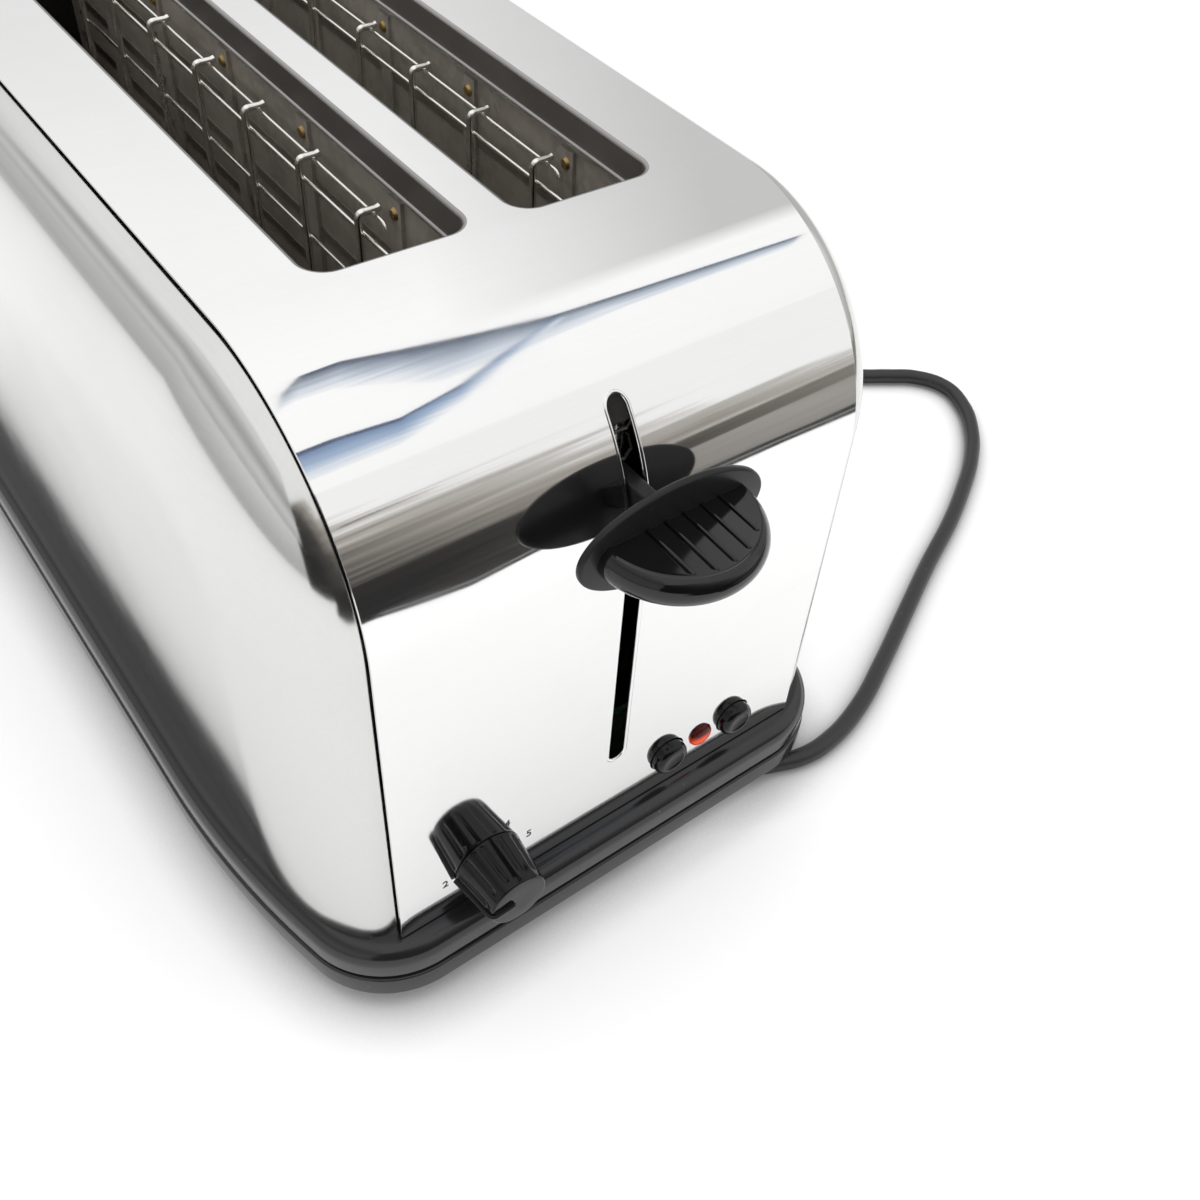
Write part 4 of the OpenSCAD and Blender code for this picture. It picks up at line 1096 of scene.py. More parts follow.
@dataclass
class Lever(Assembly):
    """Arm, oval flange and thumb paddle of the bread carriage."""

    BODY: ClassVar[str] = "carriage"
    arm_edge: float = 0.6 * MM
    flange_edge: float = 0.7 * MM
    flange_sides: int = 128
    paddle_radius: float = 21 * MM
    paddle_half: float = 4.5 * MM
    nose: float = 0.3 * MM
    rim: float = 2.6 * MM
    crest: tuple = (0.6 * MM, 0.25 * MM)
    slope: float = 1.4 * MM
    recess: float = 0.45 * MM
    ridge_x: tuple = (-8 * MM, -3 * MM, 2 * MM, 7 * MM, 12 * MM)
    ridge_radius: float = 0.5 * MM
    ridge_rise: float = 0.15 * MM
    ridge_end: tuple = ((2.4 * MM, 1), (1.0 * MM, 0.8), (0, 0))
    steps: int = 72

    def build(self) -> None:
        """Models the three pieces."""
        arm = Bench.box("lever_bar", *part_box("lever_arm"))
        Bench.soften(arm, self.arm_edge, segments=3)
        self.keep(arm, Slot.BLACK, "lever_arm", shade=30)
        low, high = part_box("lever_flange")
        middle = (low + high) / 2
        flange = Bench.rod("lever_oval", middle, radius=0.5, length=high.y - low.y, sides=self.flange_sides)
        with Bench.editing(flange, everything=True):
            bpy.ops.transform.resize(value=(high.x - low.x, 1, high.z - low.z), center_override=middle)
        Bench.soften(flange, self.flange_edge, segments=4)
        self.keep(flange, Slot.BLACK, "lever_flange", shade=40)
        self._paddle(low.y)

    def _paddle(self, back: float) -> None:
        """Models the half-round thumb paddle with its recessed, ridged top.

        Args:
            back: Place of its flat back along Y.
        """
        r, half = self.paddle_radius, self.paddle_half
        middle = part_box("lever_knob")[0].z + half
        edge = half - self.nose
        inner = r - self.rim
        shape = [(0, -half)] + arc((r - edge, 0), (edge, half), -90, 62, steps=18)
        shape += arc((inner, half - self.crest[1]), self.crest, 60, 110, steps=5)
        shape += [(inner - self.slope, half - self.recess), (0, half - self.recess)]
        points = [(x, back, middle + z) for x, z in shape]
        paddle = Bench.revolve("paddle_shape", points, (0, back, middle), (0, 0, 1), self.steps, angle=180)
        with Bench.editing(paddle):
            Bench.pick(paddle, Pick.EDGE, lambda at, way: abs(at.y - back) < HAIR)
            bpy.ops.mesh.edge_face_add()
        Bench.weld(paddle)
        Bench.smooth(paddle, angle=35)
        top = middle + half - self.recess
        ridges = []
        for x in self.ridge_x:
            reach = math.sqrt((inner - self.crest[0]) ** 2 - x * x)
            ends = [(0, 1)] + [(reach - short, share) for short, share in self.ridge_end]
            ridges.append([(x, back - run, top + self.ridge_rise * share) for run, share in ends])
        lines = Bench.wires("paddle_ridges", ridges, self.ridge_radius, fineness=4)
        self.keep(Bench.join("thumb_paddle", paddle, lines), FinishBook.PADDLE, "lever_knob")


@dataclass
class Dial(Assembly):
    """Fluted browning dial, its pointer rib and the numbers round it."""

    BODY: ClassVar[str] = "dial"
    x: float = -42 * MM
    z: float = 41.2 * MM
    back_radius: float = 10.1 * MM
    front_radius: float = 8.5 * MM
    gap: float = 0.2 * MM
    edge: float = 0.7 * MM
    face_dip: float = 0.15 * MM
    face_share: float = 0.4
    flutes: int = 12
    flute_depth: float = 0.06
    flute_section: tuple = (0.0, 0.0, 0.0, 0.0, 0.02, 0.12, 0.42, 0.8, 1.0)
    flute_run: tuple = ((0.5, 0.0), (0.7, 0.6), (1.0, 0.9), (1.5, 1.0), (10.8, 1.0), (11.6, 0.9),
                        (12.2, 0.68), (12.6, 0.4), (12.8, 0.0))
    rib: float = 0.65 * MM
    rib_rise: float = 0.45 * MM
    rib_sunk: float = -0.1 * MM
    rib_start: float = 0.3 * MM
    rib_bend: float = 1.7 * MM
    rib_end: float = 2.2 * MM
    rib_dip: float = 0.5 * MM
    numbers: tuple = ((180, "2"), (122, "3"), (62, "4"), (4, "5"), (-57, "6"), (238, "1"))
    ring: float = 13.2 * MM
    digit: float = 4.0 * MM
    ink: float = 0.02 * MM
    ink_out: float = 0.06 * MM

    def build(self) -> None:
        """Models the knob and the printed numbers."""
        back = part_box("body_wrap")[0].y - self.gap
        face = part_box("dial_knob")[0].y + self.rib + self.rib_rise
        length = back - face
        slope = (self.front_radius - self.back_radius) / length
        rings = [(reach * MM, self.back_radius + slope * reach * MM) for reach, share in self.flute_run]
        inner = self.front_radius - self.edge
        rings += [(length - self.edge + out, inner + wide) for wide, out in arc(
            (0, 0), self.edge, 0, 90, steps=6)]
        rings.append((length - self.face_dip, self.front_radius * self.face_share))
        axis = (self.x, back, self.z)
        Bench.alone()
        bpy.ops.mesh.primitive_circle_add(vertices=self.flutes * self._steps(), radius=self.back_radius,
                                          fill_type="NGON", rotation=LYING, location=axis)
        knob = Bench.settle("dial_body")
        with Bench.editing(knob, everything=True):
            here, radius = 0.0, self.back_radius
            for reach, wide in rings:
                bpy.ops.mesh.extrude_region_move(TRANSFORM_OT_translate={"value": (0, here - reach, 0)})
                bpy.ops.transform.resize(value=(wide / radius, 1, wide / radius), center_override=axis)
                here, radius = reach, wide
            self._flute(knob, axis)
        Bench.weld(knob)
        Bench.smooth(knob, angle=38)
        routes = [self._rib(back, face, rise) for rise in (self.rib_sunk, self.rib_rise)]
        rib = Bench.wires("dial_rib", routes, self.rib, fineness=5)
        self.keep(Bench.join("browning_dial", knob, rib), FinishBook.KNOB, "dial_knob")
        self._print_numbers()

    def _steps(self) -> int:
        """Number of steps of the circle in one flute."""
        return 2 * (len(self.flute_section) - 1)

    def _flute(self, knob: Piece, axis: tuple) -> None:
        """Draws the flutes in, ring by ring, between the ridges.

        Args:
            knob: Knob in edit mode.
            axis: Point on its axis at its back.
        """
        steps = self._steps()

        def phase(at: Vector) -> int:
            """Step of a corner within its flute."""
            turn = math.atan2(at.z - self.z, at.x - self.x) / math.tau + 0.5
            return round(turn * self.flutes * steps) % steps

        for reach, share in self.flute_run:
            level = axis[1] - reach * MM
            for k, depth in enumerate(self.flute_section):
                if depth * share == 0.0:
                    continue
                Bench.pick(knob, Pick.CORNER, lambda at, normal: abs(at.y - level) < HAIR
                           and phase(at) in (k, steps - k))
                scale = 1 - self.flute_depth * depth * share
                bpy.ops.transform.resize(value=(scale, 1, scale), center_override=axis)

    def _rib(self, back: float, face: float, rise: float) -> list:
        """Route of the pointer rib along the side and over the edge of the face.

        Args:
            back: Rear end of the dial along Y.
            face: Its front face.
            rise: How far the rib's middle stands off the knob.

        Returns:
            Points of the route.
        """
        bend, dip = self.rib_bend, self.rib_dip
        route = [(self.back_radius + rise, back - self.rib_start)]
        route += arc((self.front_radius + rise - bend, face - rise + bend), bend, 0, -90, steps=8)
        route += [(self.rib_end, face - rise), (self.rib_end - dip, face - rise + dip)]
        return [(self.x - out, y, self.z) for out, y in route]

    def _print_numbers(self) -> None:
        """Prints the numbers on the panel round the dial."""
        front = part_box("body_wrap")[0].y
        digits = []
        for angle, text in self.numbers:
            turn = math.radians(angle)
            Bench.alone()
            bpy.ops.object.text_add(rotation=LYING, location=(
                self.x + self.ring * math.cos(turn), front - self.ink_out,
                self.z + self.ring * math.sin(turn)))
            letter = bpy.context.object.data
            letter.body = text
            letter.size = self.digit
            letter.align_x = "CENTER"
            letter.align_y = "CENTER"
            letter.extrude = self.ink
            bpy.ops.object.convert(target="MESH")
            digits.append(Bench.settle("digit"))
        self.keep(Bench.join("dial_numbers", *digits), Slot.COMPONENT, body="housing")


@dataclass
class Buttons(Assembly):
    """Two push buttons with dished faces and the red lens between them."""

    z: float = 41.2 * MM
    places: tuple = (("left", 19.5 * MM), ("right", 44.5 * MM))
    radius: float = 5.75 * MM
    out: float = 3.6 * MM
    side: float = 1.2 * MM
    crest: float = 3.6 * MM
    bowl: tuple = (3.4 * MM, 1.0 * MM)
    collar: float = 7.25 * MM
    collar_y: tuple = (1.2 * MM, 2.4 * MM)
    stem: float = 2 * MM
    lens_x: float = 32 * MM
    lens_radius: float = 3.9 * MM
    lens_collar: float = 5 * MM
    lens_y: tuple = (0.8 * MM, 2.8 * MM)
    lens_dome: float = 1.8 * MM
    lens_bulge: float = 0.75
    lens_steps: int = 12

    def build(self) -> None:
        """Models the buttons and the lens."""
        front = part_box("body_wrap")[0].y
        near, far = (front + y for y in self.collar_y)
        for side, x in self.places:
            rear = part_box(f"{side}_button")[1].y
            shape = [(0, rear), (self.stem, rear), (self.stem, far), (self.collar, far),
                     (self.collar, near), (self.radius, near)]
            shape += arc((self.crest, front - self.side),
                         (self.radius - self.crest, self.out - self.side), 0, -90, steps=12)
            shape += arc((0, front - self.out), self.bowl, 0, 90, steps=12)
            button = self._turned(f"{side}_push_cap", shape, x, steps=64)
            self.keep(button, FinishBook.KNOB, f"{side}_button", body=f"{side}_push_button", shade=50)
        near, far = (front + y for y in self.lens_y)
        shape = [(0, far), (self.lens_collar, far), (self.lens_collar, near)]
        for wide, high in arc((0, 0), 1.0, 0, 90, self.lens_steps):
            shape.append((self.lens_radius * max(wide, 0.0) ** self.lens_bulge,
                          front - self.lens_dome * high ** self.lens_bulge))
        lens = self._turned("lamp_lens", shape, self.lens_x, steps=48)
        self.keep(lens, Slot.LENS, "indicator_lens", shade=40)

    def _turned(self, name: str, shape: Sequence, x: float, steps: int) -> Piece:
        """Models a round piece from its section, as radius and place along Y."""
        points = [(x + r, y, self.z) for r, y in shape]
        return Bench.revolve(name, points, (x, 0, self.z), (0, 1, 0), steps)


@dataclass
class BreadGuides(Assembly):
    """Four wire grilles that centre the bread, one on each side of each slot."""

    sides: tuple = ((-1, -1), (-1, 1), (1, -1), (1, 1))
    slot_x: float = 25.75 * MM
    open: float = 11.75 * MM
    uprights: tuple = tuple((-83 + 31 * k) * MM for k in range(7))
    low_z: float = 39 * MM
    hook_z: float = 176 * MM
    bend: float = 1.4 * MM
    reach: float = 17.75 * MM
    hook_end: tuple = (1.2 * MM, 0.35 * MM)
    row_x: float = 13.25 * MM
    rows: tuple = tuple((170 - 17 * k) * MM for k in range(8))
    top_wire: tuple = (16.35 * MM, 174.5 * MM)
    long_run: tuple = (-133 * MM, 153 * MM)
    short_run: tuple = (-91 * MM, 111 * MM)
    thick: float = 1.0 * MM
    thin: float = 0.65 * MM
    tail: tuple = ((2.6, -1.5), (2.9, -0.7), (3.6, -0.15), (4.6, 0.0))

    def build(self) -> None:
        """Models the four grilles."""
        for name, (side, wall) in zip(GRILLES, self.sides):
            slot = (side * self.slot_x, wall)
            thick = Bench.wires("uprights", [self._upright(slot, y) for y in self.uprights], self.thick)
            thin = Bench.wires("rows", self._rows(slot), self.thin)
            guide = Bench.join(f"{name}_grille", thick, thin)
            self.keep(guide, Slot.WIRE, f"{name}_bread_guide", body=f"{name}_guide")

    def _upright(self, slot: tuple, y: float) -> list:
        """Route of one upright wire with its hook.

        Args:
            slot: Middle of the slot along X, and the side of the grille.
            y: Place of the wire along Y.

        Returns:
            Points of the route.
        """
        start = self.hook_z - self.bend
        short, rise = self.hook_end
        shape = [(self.open, self.low_z), (self.open, start)]
        shape += arc((self.open + self.bend, start), self.bend, 180, 90, steps=8)[1:]
        shape += [(self.reach - short, self.hook_z), (self.reach, self.hook_z + rise)]
        return [(slot[0] + slot[1] * out, y, z) for out, z in shape]

    def _rows(self, slot: tuple) -> list:
        """Routes of the long wires.

        Args:
            slot: Middle of the slot along X, and the side of the grille.

        Returns:
            A route for each wire.
        """
        routes = []
        for k, z in enumerate(self.rows):
            run = self.long_run if k in (0, len(self.rows) - 1) else self.short_run
            routes.append([(slot[0] + slot[1] * self.row_x, y, z) for y in run])
        x, z = self.top_wire
        start, end = self.short_run
        run = [(start + along * MM, z + rise * MM) for along, rise in self.tail]
        routes.append([(slot[0] + slot[1] * x, y, height) for y, height in [*run, (end, z)]])
        return routes


@dataclass
class Lead(Assembly):
    """Mains lead on the table, its bush, its coil with a strap, and the plug."""

    diameter: float = 6.2 * MM
    route: tuple = (
        (31, -180, 15), (36, -180, 14.6), (43, -180.3, 12), (51, -181.3, 7.6), (59, -182.7, 4.2),
        (67, -185.6, 3.2), (76, -188.6, 3.2), (88, -188.8, 3.2), (107, -184, 3.2), (127, -175, 3.2),
        (152, -162.5, 3.2), (179, -149, 3.2), (204, -137.5, 3.2), (225, -126, 3.2), (242, -115, 3.2),
        (256, -102.5, 3.2), (266, -88, 3.2), (269, -75, 3.2), (263, -63, 3.2), (252, -55, 3.2),
        (241, -48, 3.2), (231.5, -38, 3.4), (225.5, -25, 3.9), (223.2, -10, 4.4), (223, 4, 4.5),
        (223, 18, 4.5))
    coil_middle: tuple = (185, 25)
    coil_radius: float = 38
    coil_z: float = 4.5
    coil_pitch: float = 6.7
    coil_steps: int = 24
    coil_turns: float = 3
    layer: float = 1.25
    climb: float = 0.5
    coil_out: float = 14
    coil_end: float = 55
    bush_head: tuple = ((0, 3.2), (0, 3.8), (2, 3.8), (2, 3.5))
    bush_collar: tuple = ((14, 3.5), (14, 4.8), (16, 4.8), (16, 4.7))
    bush_ribs: tuple = (4, 17.5, 3.2, 4.7, -0.28)
    bush_rib: tuple = ((0, 0), (0.3, -0.6), (1.3, -0.6), (1.6, -0.1))
    bush_end: tuple = (3.6, 3.15)
    tie_edge: float = 2.4 * MM
    tie_sheet: float = 0.8 * MM
    sleeve_head: tuple = ((0, 3.2), (0, 4.1))
    sleeve_ribs: tuple = (5, 2.2, 4, 4.3, 0.55)
    sleeve_rib: tuple = ((0, 0), (0.4, -0.8), (1.4, -0.8), (1.8, 0.15))
    sleeve_end: tuple = ((24, 7.1), (26, 7.1), (26, 0))
    case_start: float = 24 * MM
    case_rear: float = 4 * MM
    case_face: float = 1.2 * MM
    pin_tip: float = 1.5 * MM

    def build(self) -> None:
        """Models the lead and the pieces on it."""
        points = [Vector(point) * MM for point in self._path()]
        lead = Bench.wires("mains_lead", [points], self.diameter / 2, fineness=5, shade=60, curved=True)
        self.keep(lead, Slot.CORD, "power_cord", "cord_coil")
        pieces = [self._bush(), self._tie(), *self._plug()]

    def _path(self) -> list:
        """Points of the whole lead in millimetres.

        Returns:
            The route on the table, the coil and the end in the plug.
        """
        path = list(self.route)
        half = self.coil_turns / 2
        for k in range(int(self.coil_turns * self.coil_steps) + 1):
            turn = k / self.coil_steps
            inwards = turn if turn <= half else self.coil_turns - turn
            radius = self.coil_radius - self.coil_pitch * inwards
            rise = max(0.0, min(1.0, (turn - self.layer) / self.climb))
            path.append((self.coil_middle[0] + radius * math.cos(math.tau * turn),
                         self.coil_middle[1] + radius * math.sin(math.tau * turn),
                         self.coil_z + self.coil_pitch * rise))
        x, y, z = path[-1]
        return [*path, (x, y + self.coil_out, z), (x, self.coil_end, z)]

    @staticmethod
    def _ribs(ribs: tuple, section: tuple) -> list:
        """Section of a ribbed sleeve in millimetres.

        Args:
            ribs: Number of ribs, first place, pitch, first radius and its change from rib to rib.
            section: Run and rise of the points of one rib.

        Returns:
            Points as place and radius.
        """
        count, first, pitch, radius, change = ribs
        return [(first + pitch * k + run, radius + change * k + rise)
                for k in range(count) for run, rise in section]

    def _bush(self) -> Piece:
        """Models the bush that holds the lead in the base.

        Returns:
            The bush.
        """
        low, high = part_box("strain_relief")
        _, y, z = (low + high) / 2
        shape = [(low.x / MM + run, radius) for run, radius in self.bush_head]
        shape += [*self.bush_collar, *self._ribs(self.bush_ribs, self.bush_rib)]
        shape += [(high.x / MM, radius) for radius in self.bush_end]
        points = [(x * MM, y, z + radius * MM) for x, radius in shape]
        bush = Bench.revolve("lead_bush", points, (0, y, z), (1, 0, 0), steps=32)
        return self.keep(bush, Slot.RUBBER, "strain_relief", shade=35)

    def _tie(self) -> Piece:
        """Models the strap round the coil.

        Returns:
            The strap.
        """
        tie = Bench.box("coil_strap", *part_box("cord_tie"))
        with Bench.editing(tie):
            Bench.pick(tie, Pick.FACE, runs_along(1))
            bpy.ops.mesh.delete(type="FACE")
            Bench.pick(tie, Pick.EDGE, runs_along(1))
            Bench.bevel(self.tie_edge, segments=6)
        Bench.thicken(tie, self.tie_sheet)
        return self.keep(tie, Slot.BLACK, "cord_tie", shade=35)

    def _plug(self) -> list:
        """Models the plug and its pins.

        Returns:
            The two pieces.
        """
        low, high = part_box("plug_body")
        x, _, z = (low + high) / 2
        shape = [*self.sleeve_head, *self._ribs(self.sleeve_ribs, self.sleeve_rib), *self.sleeve_end]
        points = [(x + radius * MM, low.y + run * MM, z) for run, radius in shape]
        sleeve = Bench.revolve("plug_sleeve", points, (x, 0, z), (0, 1, 0), steps=40)
        Bench.smooth(sleeve, angle=35)
        case = Bench.round_box("plug_case", (low.x, low.y + self.case_start, low.z), high, axis=1,
                               radius=(high.z - low.z) / 2 - SHY, steps=14)
        with Bench.editing(case):
            Bench.pick(case, Pick.FACE, lambda at, normal: normal.y < -ALONG)
            Bench.bevel(self.case_rear, segments=6)
            Bench.pick(case, Pick.FACE, lambda at, normal: normal.y > ALONG)
            Bench.bevel(self.case_face, segments=4)
        Bench.smooth(case, angle=35)
        plug = self.keep(Bench.join("mains_plug", case, sleeve), Slot.BLACK, "plug_body")
        low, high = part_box("plug_pins")
        radius = (high.z - low.z) / 2
        pins = []
        for x in (low.x + radius, high.x - radius):
            pin = Bench.rod("pin", (x, (low.y + high.y) / 2, z), radius, high.y - low.y, sides=32)
            with Bench.editing(pin):
                Bench.pick(pin, Pick.FACE, lambda at, normal: normal.y > ALONG)
                Bench.bevel(self.pin_tip, segments=6)
            pins.append(pin)
        return [plug, self.keep(Bench.join("plug_pair", *pins), Slot.WIRE, "plug_pins", shade=35)]


@dataclass
class Inside(Assembly):
    """CAD pieces that are kept as they are and only dressed."""

    nodes: dict = field(default_factory=dict)
    # The bulkheads and reflectors get the darker copy of the plated steel, as painted shade.
    looks: tuple = (
        (FinishBook.INNER, ("front_bulkhead", "rear_bulkhead", "left_reflector", "right_reflector")),
        (Slot.PLATED, ("base_screws", "keeper_plate", "rod_bracket", "magnet_core", "dial_shaft",
                       "crumb_tray")),
        (Slot.MICA, tuple(f"{side}_heater_board" for side in GRILLES)),
        (Slot.RIBBON, tuple(f"{side}_heating_ribbon" for side in GRILLES)),
        (Slot.BRASS, ("heater_rivets",)),
        (Slot.WIRE, ("left_bread_rack", "right_bread_rack", "guide_rods", "return_springs")),
        (Slot.COPPER, ("magnet_coils",)),
        (Slot.BOARD, ("control_board",)),
        (Slot.COMPONENT, ("power_relay", "timer_chip", "button_switches", "dial_potentiometer")),
        (Slot.PALE, ("carriage_slider", "terminal_block")),
        (Slot.LENS, ("indicator_lamp",)),
        (Slot.RUBBER, ("rubber_feet",)))

    def build(self) -> None:
        """Lists the kept nodes with their looks."""
        for look, names in self.looks:
            for name in names:
                self.made.append((self.nodes[name], look))
                LOG.info("%s is kept from the CAD model", name)


@dataclass
class Studio:
    """White table, plain light, reflection cards and the camera."""

    eye: tuple = (-0.1396, -0.3390, 0.3417)
    right: tuple = (0.78579, -0.61307, 0.08171)
    up: tuple = (0.3949, 0.5990, 0.6966)
    lens: float = 38.19
    sensor: float = 36.0
    near: float = 0.01
    shift: tuple = (-0.0437, -0.0222)
    lamp_watts: float = 19.0
    lamp_side: float = 2.4
    lamp_place: tuple = (0.2, 0.1, 2.2)
    sky: tuple = ((0.0, 0.55), (0.3, 0.8), (0.44, 0.97), (0.53, 1.06), (1.0, 1.12))
    dim: float = 0.64
    dim_right: tuple = ((0.41, 0.0), (0.6, 1.0))
    dim_rear: tuple = ((0.0, 0.0), (0.12, 1.0))
    table_side: float = 8.0
    glow: float = 0.25
    painted_shadow_reach: float = 17 * MM
    painted_shadow_samples: int = 8
    painted_shadow_tone: tuple = ((0.4, 0.34), (0.75, 0.72), (0.92, 0.95), (1.0, 1.0))
    floor_height: float = 1 * MM
    floor_edge: tuple = ((61, -587), (68, -522), (82, -477), (132, -505), (180, -485), (223, -471),
                         (276, -454), (304, -430), (420, -410), (3000, -350))
    floor_ends: tuple = ((3000, -1500), (-400, -1500), (-300, -800), (-100, -640))
    floor_tone: tuple = ((0.05, 0.03), (0.15, (0.06, 0.056, 0.052)), (0.3, (0.3, 0.285, 0.265)),
                         (0.5, (0.38, 0.365, 0.34)), (1.0, (0.3, 0.28, 0.26)))
    floor_way: tuple = ((1.0, 0.5, 0.0), 0.3, 0.3)
    edge_height: float = 2 * MM
    edge_move: tuple = (34, -81)
    edge_stir: float = 0.1
    edge_tone: tuple = ((0.0, 0.05), (0.31, 0.05), (0.35, 0.3), (0.47, 0.3), (0.54, 0.05), (1.0, 0.05))
    side_card: tuple = ((-0.9, -1.0, 0.5), (-0.9, 2.0, 0.5), (-0.9, 2.0, 1.7), (-0.9, -1.0, 1.7))
    side_tone: tuple = ((0.45, 0.46), (0.58, 0.8), (0.72, 0.46), (0.9, 0.7), (1.0, 0.85))
    side_way: tuple = ((0.0, 0.0, 0.6), 0.18, 0.1)
    wall: tuple = ((-1.6, -1.5, 0.0), (3.0, -1.49, 1.5))
    wall_tone: tuple = ((0.0, 0.03), (0.38, (0.075, 0.07, 0.065)), (0.52, (0.17, 0.16, 0.145)),
                        (0.7, (0.34, 0.315, 0.28)), (0.88, (0.58, 0.56, 0.53)), (0.97, (0.92, 0.91, 0.9)),
                        (1.0, 1.0))
    wall_way: tuple = ((0.48, 0.0, 0.6), 0.18, 0.85)
    wall_gap: float = 5 * MM
    foot: tuple = ((-400, 0), (3000, 0), (3000, 200), (-400, 130))
    foot_tone: tuple = ((0.2, (0.035, 0.033, 0.032)), (0.4, (0.07, 0.065, 0.06)), (0.6, (0.24, 0.225, 0.2)),
                        (1.0, (0.34, 0.32, 0.29)))
    foot_way: tuple = ((0.5, 0.0, 0.0), 0.0, 0.2)
    crease: tuple = ((378, 838), (430, 851), (480, 848), (540, 850), (540, 853), (480, 862), (430, 868),
                     (378, 858))
    crease_tone: tuple = (0.16, 0.14, 0.12, 1)
    ceiling: float = 0.9
    fold_drop: float = 2 * MM
    fold_stir: float = 0.9
    upper_fold: tuple = ((149, -122), (168, -51), (203, -46), (250, -103), (311, -165), (391, -231),
                         (486, -257), (580, -278), (684, -300))
    upper_move: tuple = (-15, -150)
    upper_widths: tuple = (0.7, 0.9, 1.0, 1.15, 1.5, 1.0, 0.6, 0.5, 0.4)
    upper_tone: tuple = ((0.0, (0.07, 0.085, 0.12)), (0.1, (0.15, 0.18, 0.24)), (0.25, (0.33, 0.38, 0.45)),
                         (0.5, (0.55, 0.61, 0.7)), (0.8, (0.86, 0.9, 0.97)), (1.0, 1.0))
    lower_fold: tuple = ((150, -500), (167, -495), (193, -492), (263, -525), (314, -456), (344, -358),
                         (398, -240))
    lower_move: tuple = (40, -250)
    lower_widths: tuple = (1.0, 1.0, 1.0, 0.85, 0.5, 0.28, 0.12)
    lower_tone: tuple = ((0.0, (0.07, 0.09, 0.15)), (0.09, (0.1, 0.13, 0.22)), (0.15, (0.24, 0.33, 0.5)),
                         (0.5, (0.42, 0.53, 0.7)), (0.8, (0.8, 0.86, 0.94)), (1.0, 1.0))
    fold_turn: tuple = (0, 0, 0.6)
    fold_grain: tuple = (5, 60, 1)
    streak_grain: tuple = (1.3, 9.0, 14.0)
    meet: float = 0.1 * MM

    def build(self) -> None:
        """Sets up everything that isn't the object."""
        scene = bpy.context.scene
        scene.view_settings.view_transform = "Standard"
        self._camera(scene)
        self._world(scene)
        self._table()
        self._lamp()
        self._cards()

    def _camera(self, scene: bpy.types.Scene) -> None:
        """Adds the camera where the photo was taken from.

        Args:
            scene: Scene that it looks at.
        """
        data = bpy.data.cameras.new("camera")
        data.sensor_fit = "HORIZONTAL"
        data.sensor_width = self.sensor
        data.lens = self.lens
        data.shift_x, data.shift_y = self.shift
        data.clip_start = self.near
        camera = bpy.data.objects.new("camera", data)
        right = Vector(self.right).normalized()
        up = (Vector(self.up) - right * right.dot(Vector(self.up))).normalized()
        turn = Matrix((right, up, right.cross(up))).transposed()
        camera.matrix_world = Matrix.Translation(Vector(self.eye)) @ turn.to_4x4()
        scene.collection.objects.link(camera)
        scene.camera = camera

    def _world(self, scene: bpy.types.Scene) -> None:
        """Makes a pale room that is white to the camera.

        Args:
            scene: Scene that it lights.
        """
        world = bpy.data.worlds.new("room")
        scene.world = world
        world.use_nodes = True
        tree = Tree(world.node_tree)
        way = tree.add("ShaderNodeTexCoord").outputs["Generated"]
        axes = tree.add("ShaderNodeSeparateXYZ", {0: way}).outputs
        dimmed = tree.math("MULTIPLY", tree.ramp(axes["X"], self.dim_right),
                           tree.ramp(axes["Y"], self.dim_rear))
        tone = tree.mix(dimmed, tree.ramp(axes["Z"], self.sky), (self.dim, self.dim, self.dim, 1))
        seen = tree.add("ShaderNodeLightPath").outputs["Is Camera Ray"]
        tree.feed(world.node_tree.nodes["Background"], {"Color": tree.mix(seen, tone, WHITE)})

    @staticmethod
    def _paint(obj: Piece) -> Tree:
        """Gives an object a new material.

        Args:
            obj: The object.

        Returns:
            The nodes of the material.
        """
        paint = bpy.data.materials.new(obj.name)
        paint.use_nodes = True
        obj.data.materials.append(paint)
        return Tree(paint.node_tree)

    def _table(self) -> None:
        """Adds the white table, which glows a little where it is seen and has a painted shadow near the
        object.
        """
        Bench.alone()
        bpy.ops.mesh.primitive_plane_add(size=self.table_side)
        table = Bench.settle("table")
        tree = self._paint(table)
        # Painted shadow: ambient occlusion darkens the table's colour near the object.
        near = tree.add("ShaderNodeAmbientOcclusion", {"Distance": self.painted_shadow_reach},
                        samples=self.painted_shadow_samples).outputs["AO"]
        shade = tree.ramp(near, self.painted_shadow_tone)
        white = tree.add("ShaderNodeBsdfDiffuse", {"Color": shade}).outputs[0]
        glow = tree.add("ShaderNodeEmission", {"Color": shade}).outputs[0]
        path = tree.add("ShaderNodeLightPath").outputs
        seen = tree.math("MAXIMUM", path["Is Camera Ray"],
                         tree.math("MAXIMUM", path["Is Glossy Ray"], path["Is Transmission Ray"]))
        share = tree.math("MULTIPLY", seen, self.glow)
        blend = tree.add("ShaderNodeMixShader", {0: share, 1: white, 2: glow}).outputs[0]
        tree.feed(tree.tree.nodes["Material Output"], {"Surface": blend})

    def _lamp(self) -> None:
        """Adds one broad lamp overhead."""
        data = bpy.data.lights.new("softbox", "AREA")
        data.shape = "RECTANGLE"
        data.size = self.lamp_side
        data.size_y = self.lamp_side
        data.energy = self.lamp_watts
        lamp = bpy.data.objects.new("softbox", data)
        lamp.location = self.lamp_place
        lamp.visible_glossy = False
        bpy.context.scene.collection.objects.link(lamp)

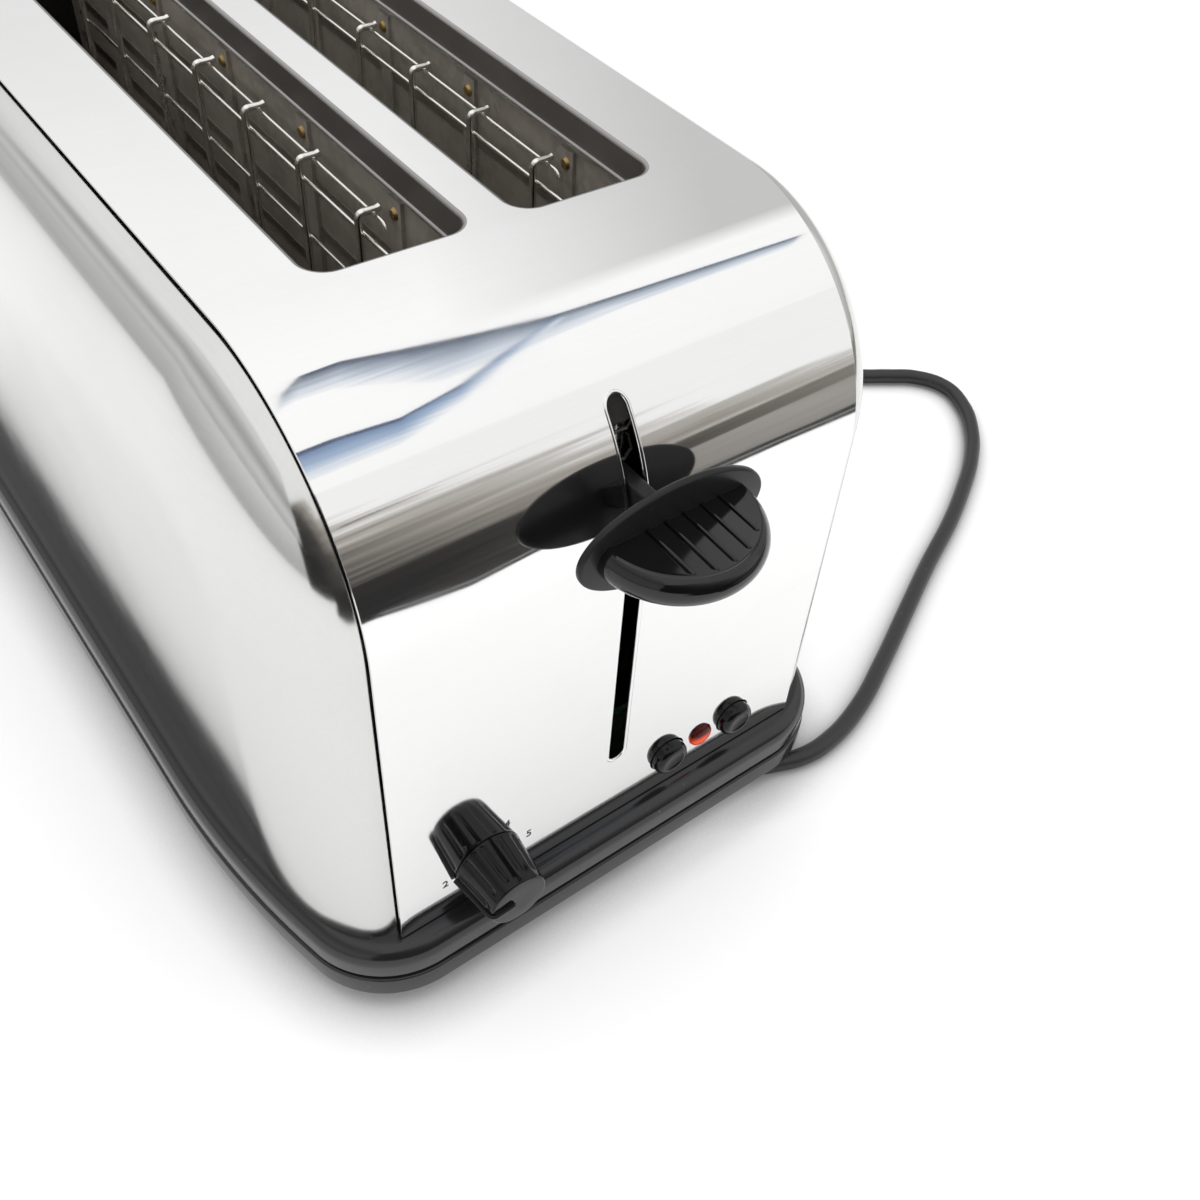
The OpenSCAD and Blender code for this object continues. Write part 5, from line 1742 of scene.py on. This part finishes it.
    def _cards(self) -> None:
        """Adds the dark front cards and the bluish folds that the object mirrors."""
        outline = (*self.floor_edge, *self.floor_ends)
        floor = self._sheet("dark_floor", [(x * MM, y * MM, self.floor_height) for x, y in outline])
        self._streaks(floor, self.floor_tone, *self.floor_way)
        self._fold("floor_edge", self.floor_edge, self.edge_move, self.edge_tone, self.edge_height,
                   self.edge_stir, [1.0] * len(self.floor_edge))
        self._streaks(self._sheet("side_card", self.side_card), self.side_tone, *self.side_way)
        self._streaks(Bench.box("dark_wall", *self.wall), self.wall_tone, *self.wall_way)
        y = self.wall[1][1] + self.wall_gap
        foot = self._sheet("wall_foot", [(x * MM, y, z * MM) for x, z in self.foot])
        self._streaks(foot, self.foot_tone, *self.foot_way)
        crease = self._sheet("wall_crease", [(x * MM, y, z * MM) for x, z in self.crease])
        self._glossy_only(crease, self._paint(crease), self.crease_tone)
        self._fold("upper_fold", self.upper_fold, self.upper_move, self.upper_tone, self.ceiling,
                   self.fold_stir, self.upper_widths)
        self._fold("lower_fold", self.lower_fold, self.lower_move, self.lower_tone,
                   self.ceiling - self.fold_drop, self.fold_stir, self.lower_widths)

    def _fold(self, name: str, points: Sequence, move: Sequence, tones: Sequence, height: float,
              stir: float, widths: Sequence) -> None:
        """Adds a level strip whose tone changes from one edge to the other.

        Args:
            name: Name of the strip.
            points: Its dark edge in plan, in millimetres.
            move: Way across it, in millimetres.
            tones: Stops of the ramp across it.
            height: Height of the strip.
            stir: How much streaks shift the tone.
            widths: Share of that way at each point of the edge.
        """
        edge = [Vector((x * MM, y * MM, height)) for x, y in points]
        step = Vector((move[0] * MM, move[1] * MM, 0))
        strip = Bench.outline(name, edge)
        with Bench.editing(strip, everything=True):
            bpy.ops.mesh.extrude_region_move(TRANSFORM_OT_translate={"value": step})
        across = strip.data.attributes.new("across", "FLOAT", "POINT")
        for corner, item in zip(strip.data.vertices, across.data):
            gaps = [(corner.co - place - step).length for place in edge]
            if min(gaps) < self.meet:
                nearest = gaps.index(min(gaps))
                corner.co = edge[nearest] + step * widths[nearest]
                item.value = 1.0
        tree = self._paint(strip)
        share = tree.add("ShaderNodeAttribute", attribute_name="across").outputs["Fac"]
        turned = tree.add("ShaderNodeMapping", {"Vector": tree.place(), "Rotation": self.fold_turn,
                                                "Scale": self.fold_grain}).outputs[0]
        shift = tree.swing(tree.noise(turned, scale=1.0, detail=4.0), tree.math("MULTIPLY", share, stir))
        self._glossy_only(strip, tree, tree.ramp(tree.math("ADD", share, shift), tones))

    @staticmethod
    def _sheet(name: str, points: Sequence) -> Piece:
        """Makes a flat card with a given outline.

        Args:
            name: Name of the card.
            points: Corners of its outline.

        Returns:
            The card.
        """
        card = Bench.outline(name, points)
        with Bench.editing(card, everything=True):
            bpy.ops.mesh.edge_face_add()
        return card

    def _streaks(self, card: Piece, tones: Sequence, way: Sequence, start: float, stir: float) -> None:
        """Gives a card a streaky tone that changes along one direction.

        Args:
            card: The card.
            tones: Stops of the ramp.
            way: Direction of the change, and how fast it is.
            start: Place on the ramp at the origin.
            stir: How much the streaks shift the tone.
        """
        tree = self._paint(card)
        place = tree.place()
        noise = tree.noise(tree.times(place, self.streak_grain), scale=1.0, detail=4.0, rough=0.65)
        run = tree.add("ShaderNodeVectorMath", {0: place, 1: way}, operation="DOT_PRODUCT").outputs["Value"]
        level = tree.math("ADD", tree.math("ADD", run, start), tree.swing(noise, stir))
        self._glossy_only(card, tree, tree.ramp(level, tones))

    @staticmethod
    def _glossy_only(card: Piece, tree: Tree, tone: object) -> None:
        """Gives a card a glow that only reflections show.

        Args:
            card: The card.
            tree: Nodes of its material.
            tone: Its colour, or the socket of it.
        """
        glow = tree.add("ShaderNodeEmission", {"Color": tone}).outputs[0]
        tree.feed(tree.tree.nodes["Material Output"], {"Surface": glow})
        card.visible_camera = False
        card.visible_diffuse = False
        card.visible_shadow = False


def main() -> None:
    """Builds the object, dresses it and sets up the studio."""
    logging.basicConfig(level=logging.INFO, format="%(name)s: %(message)s")
    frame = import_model()
    book = FinishBook()
    studio = Studio()
    studio.build()
    groups = [Lead(), Wrap(), SidePanels(), Base(), Lever(), Dial(), Buttons(), BreadGuides(),
              Inside(nodes=frame["nodes"])]
    for group in groups:
        group.build()
        group.dress(book)


if __name__ == "__main__":
    main()
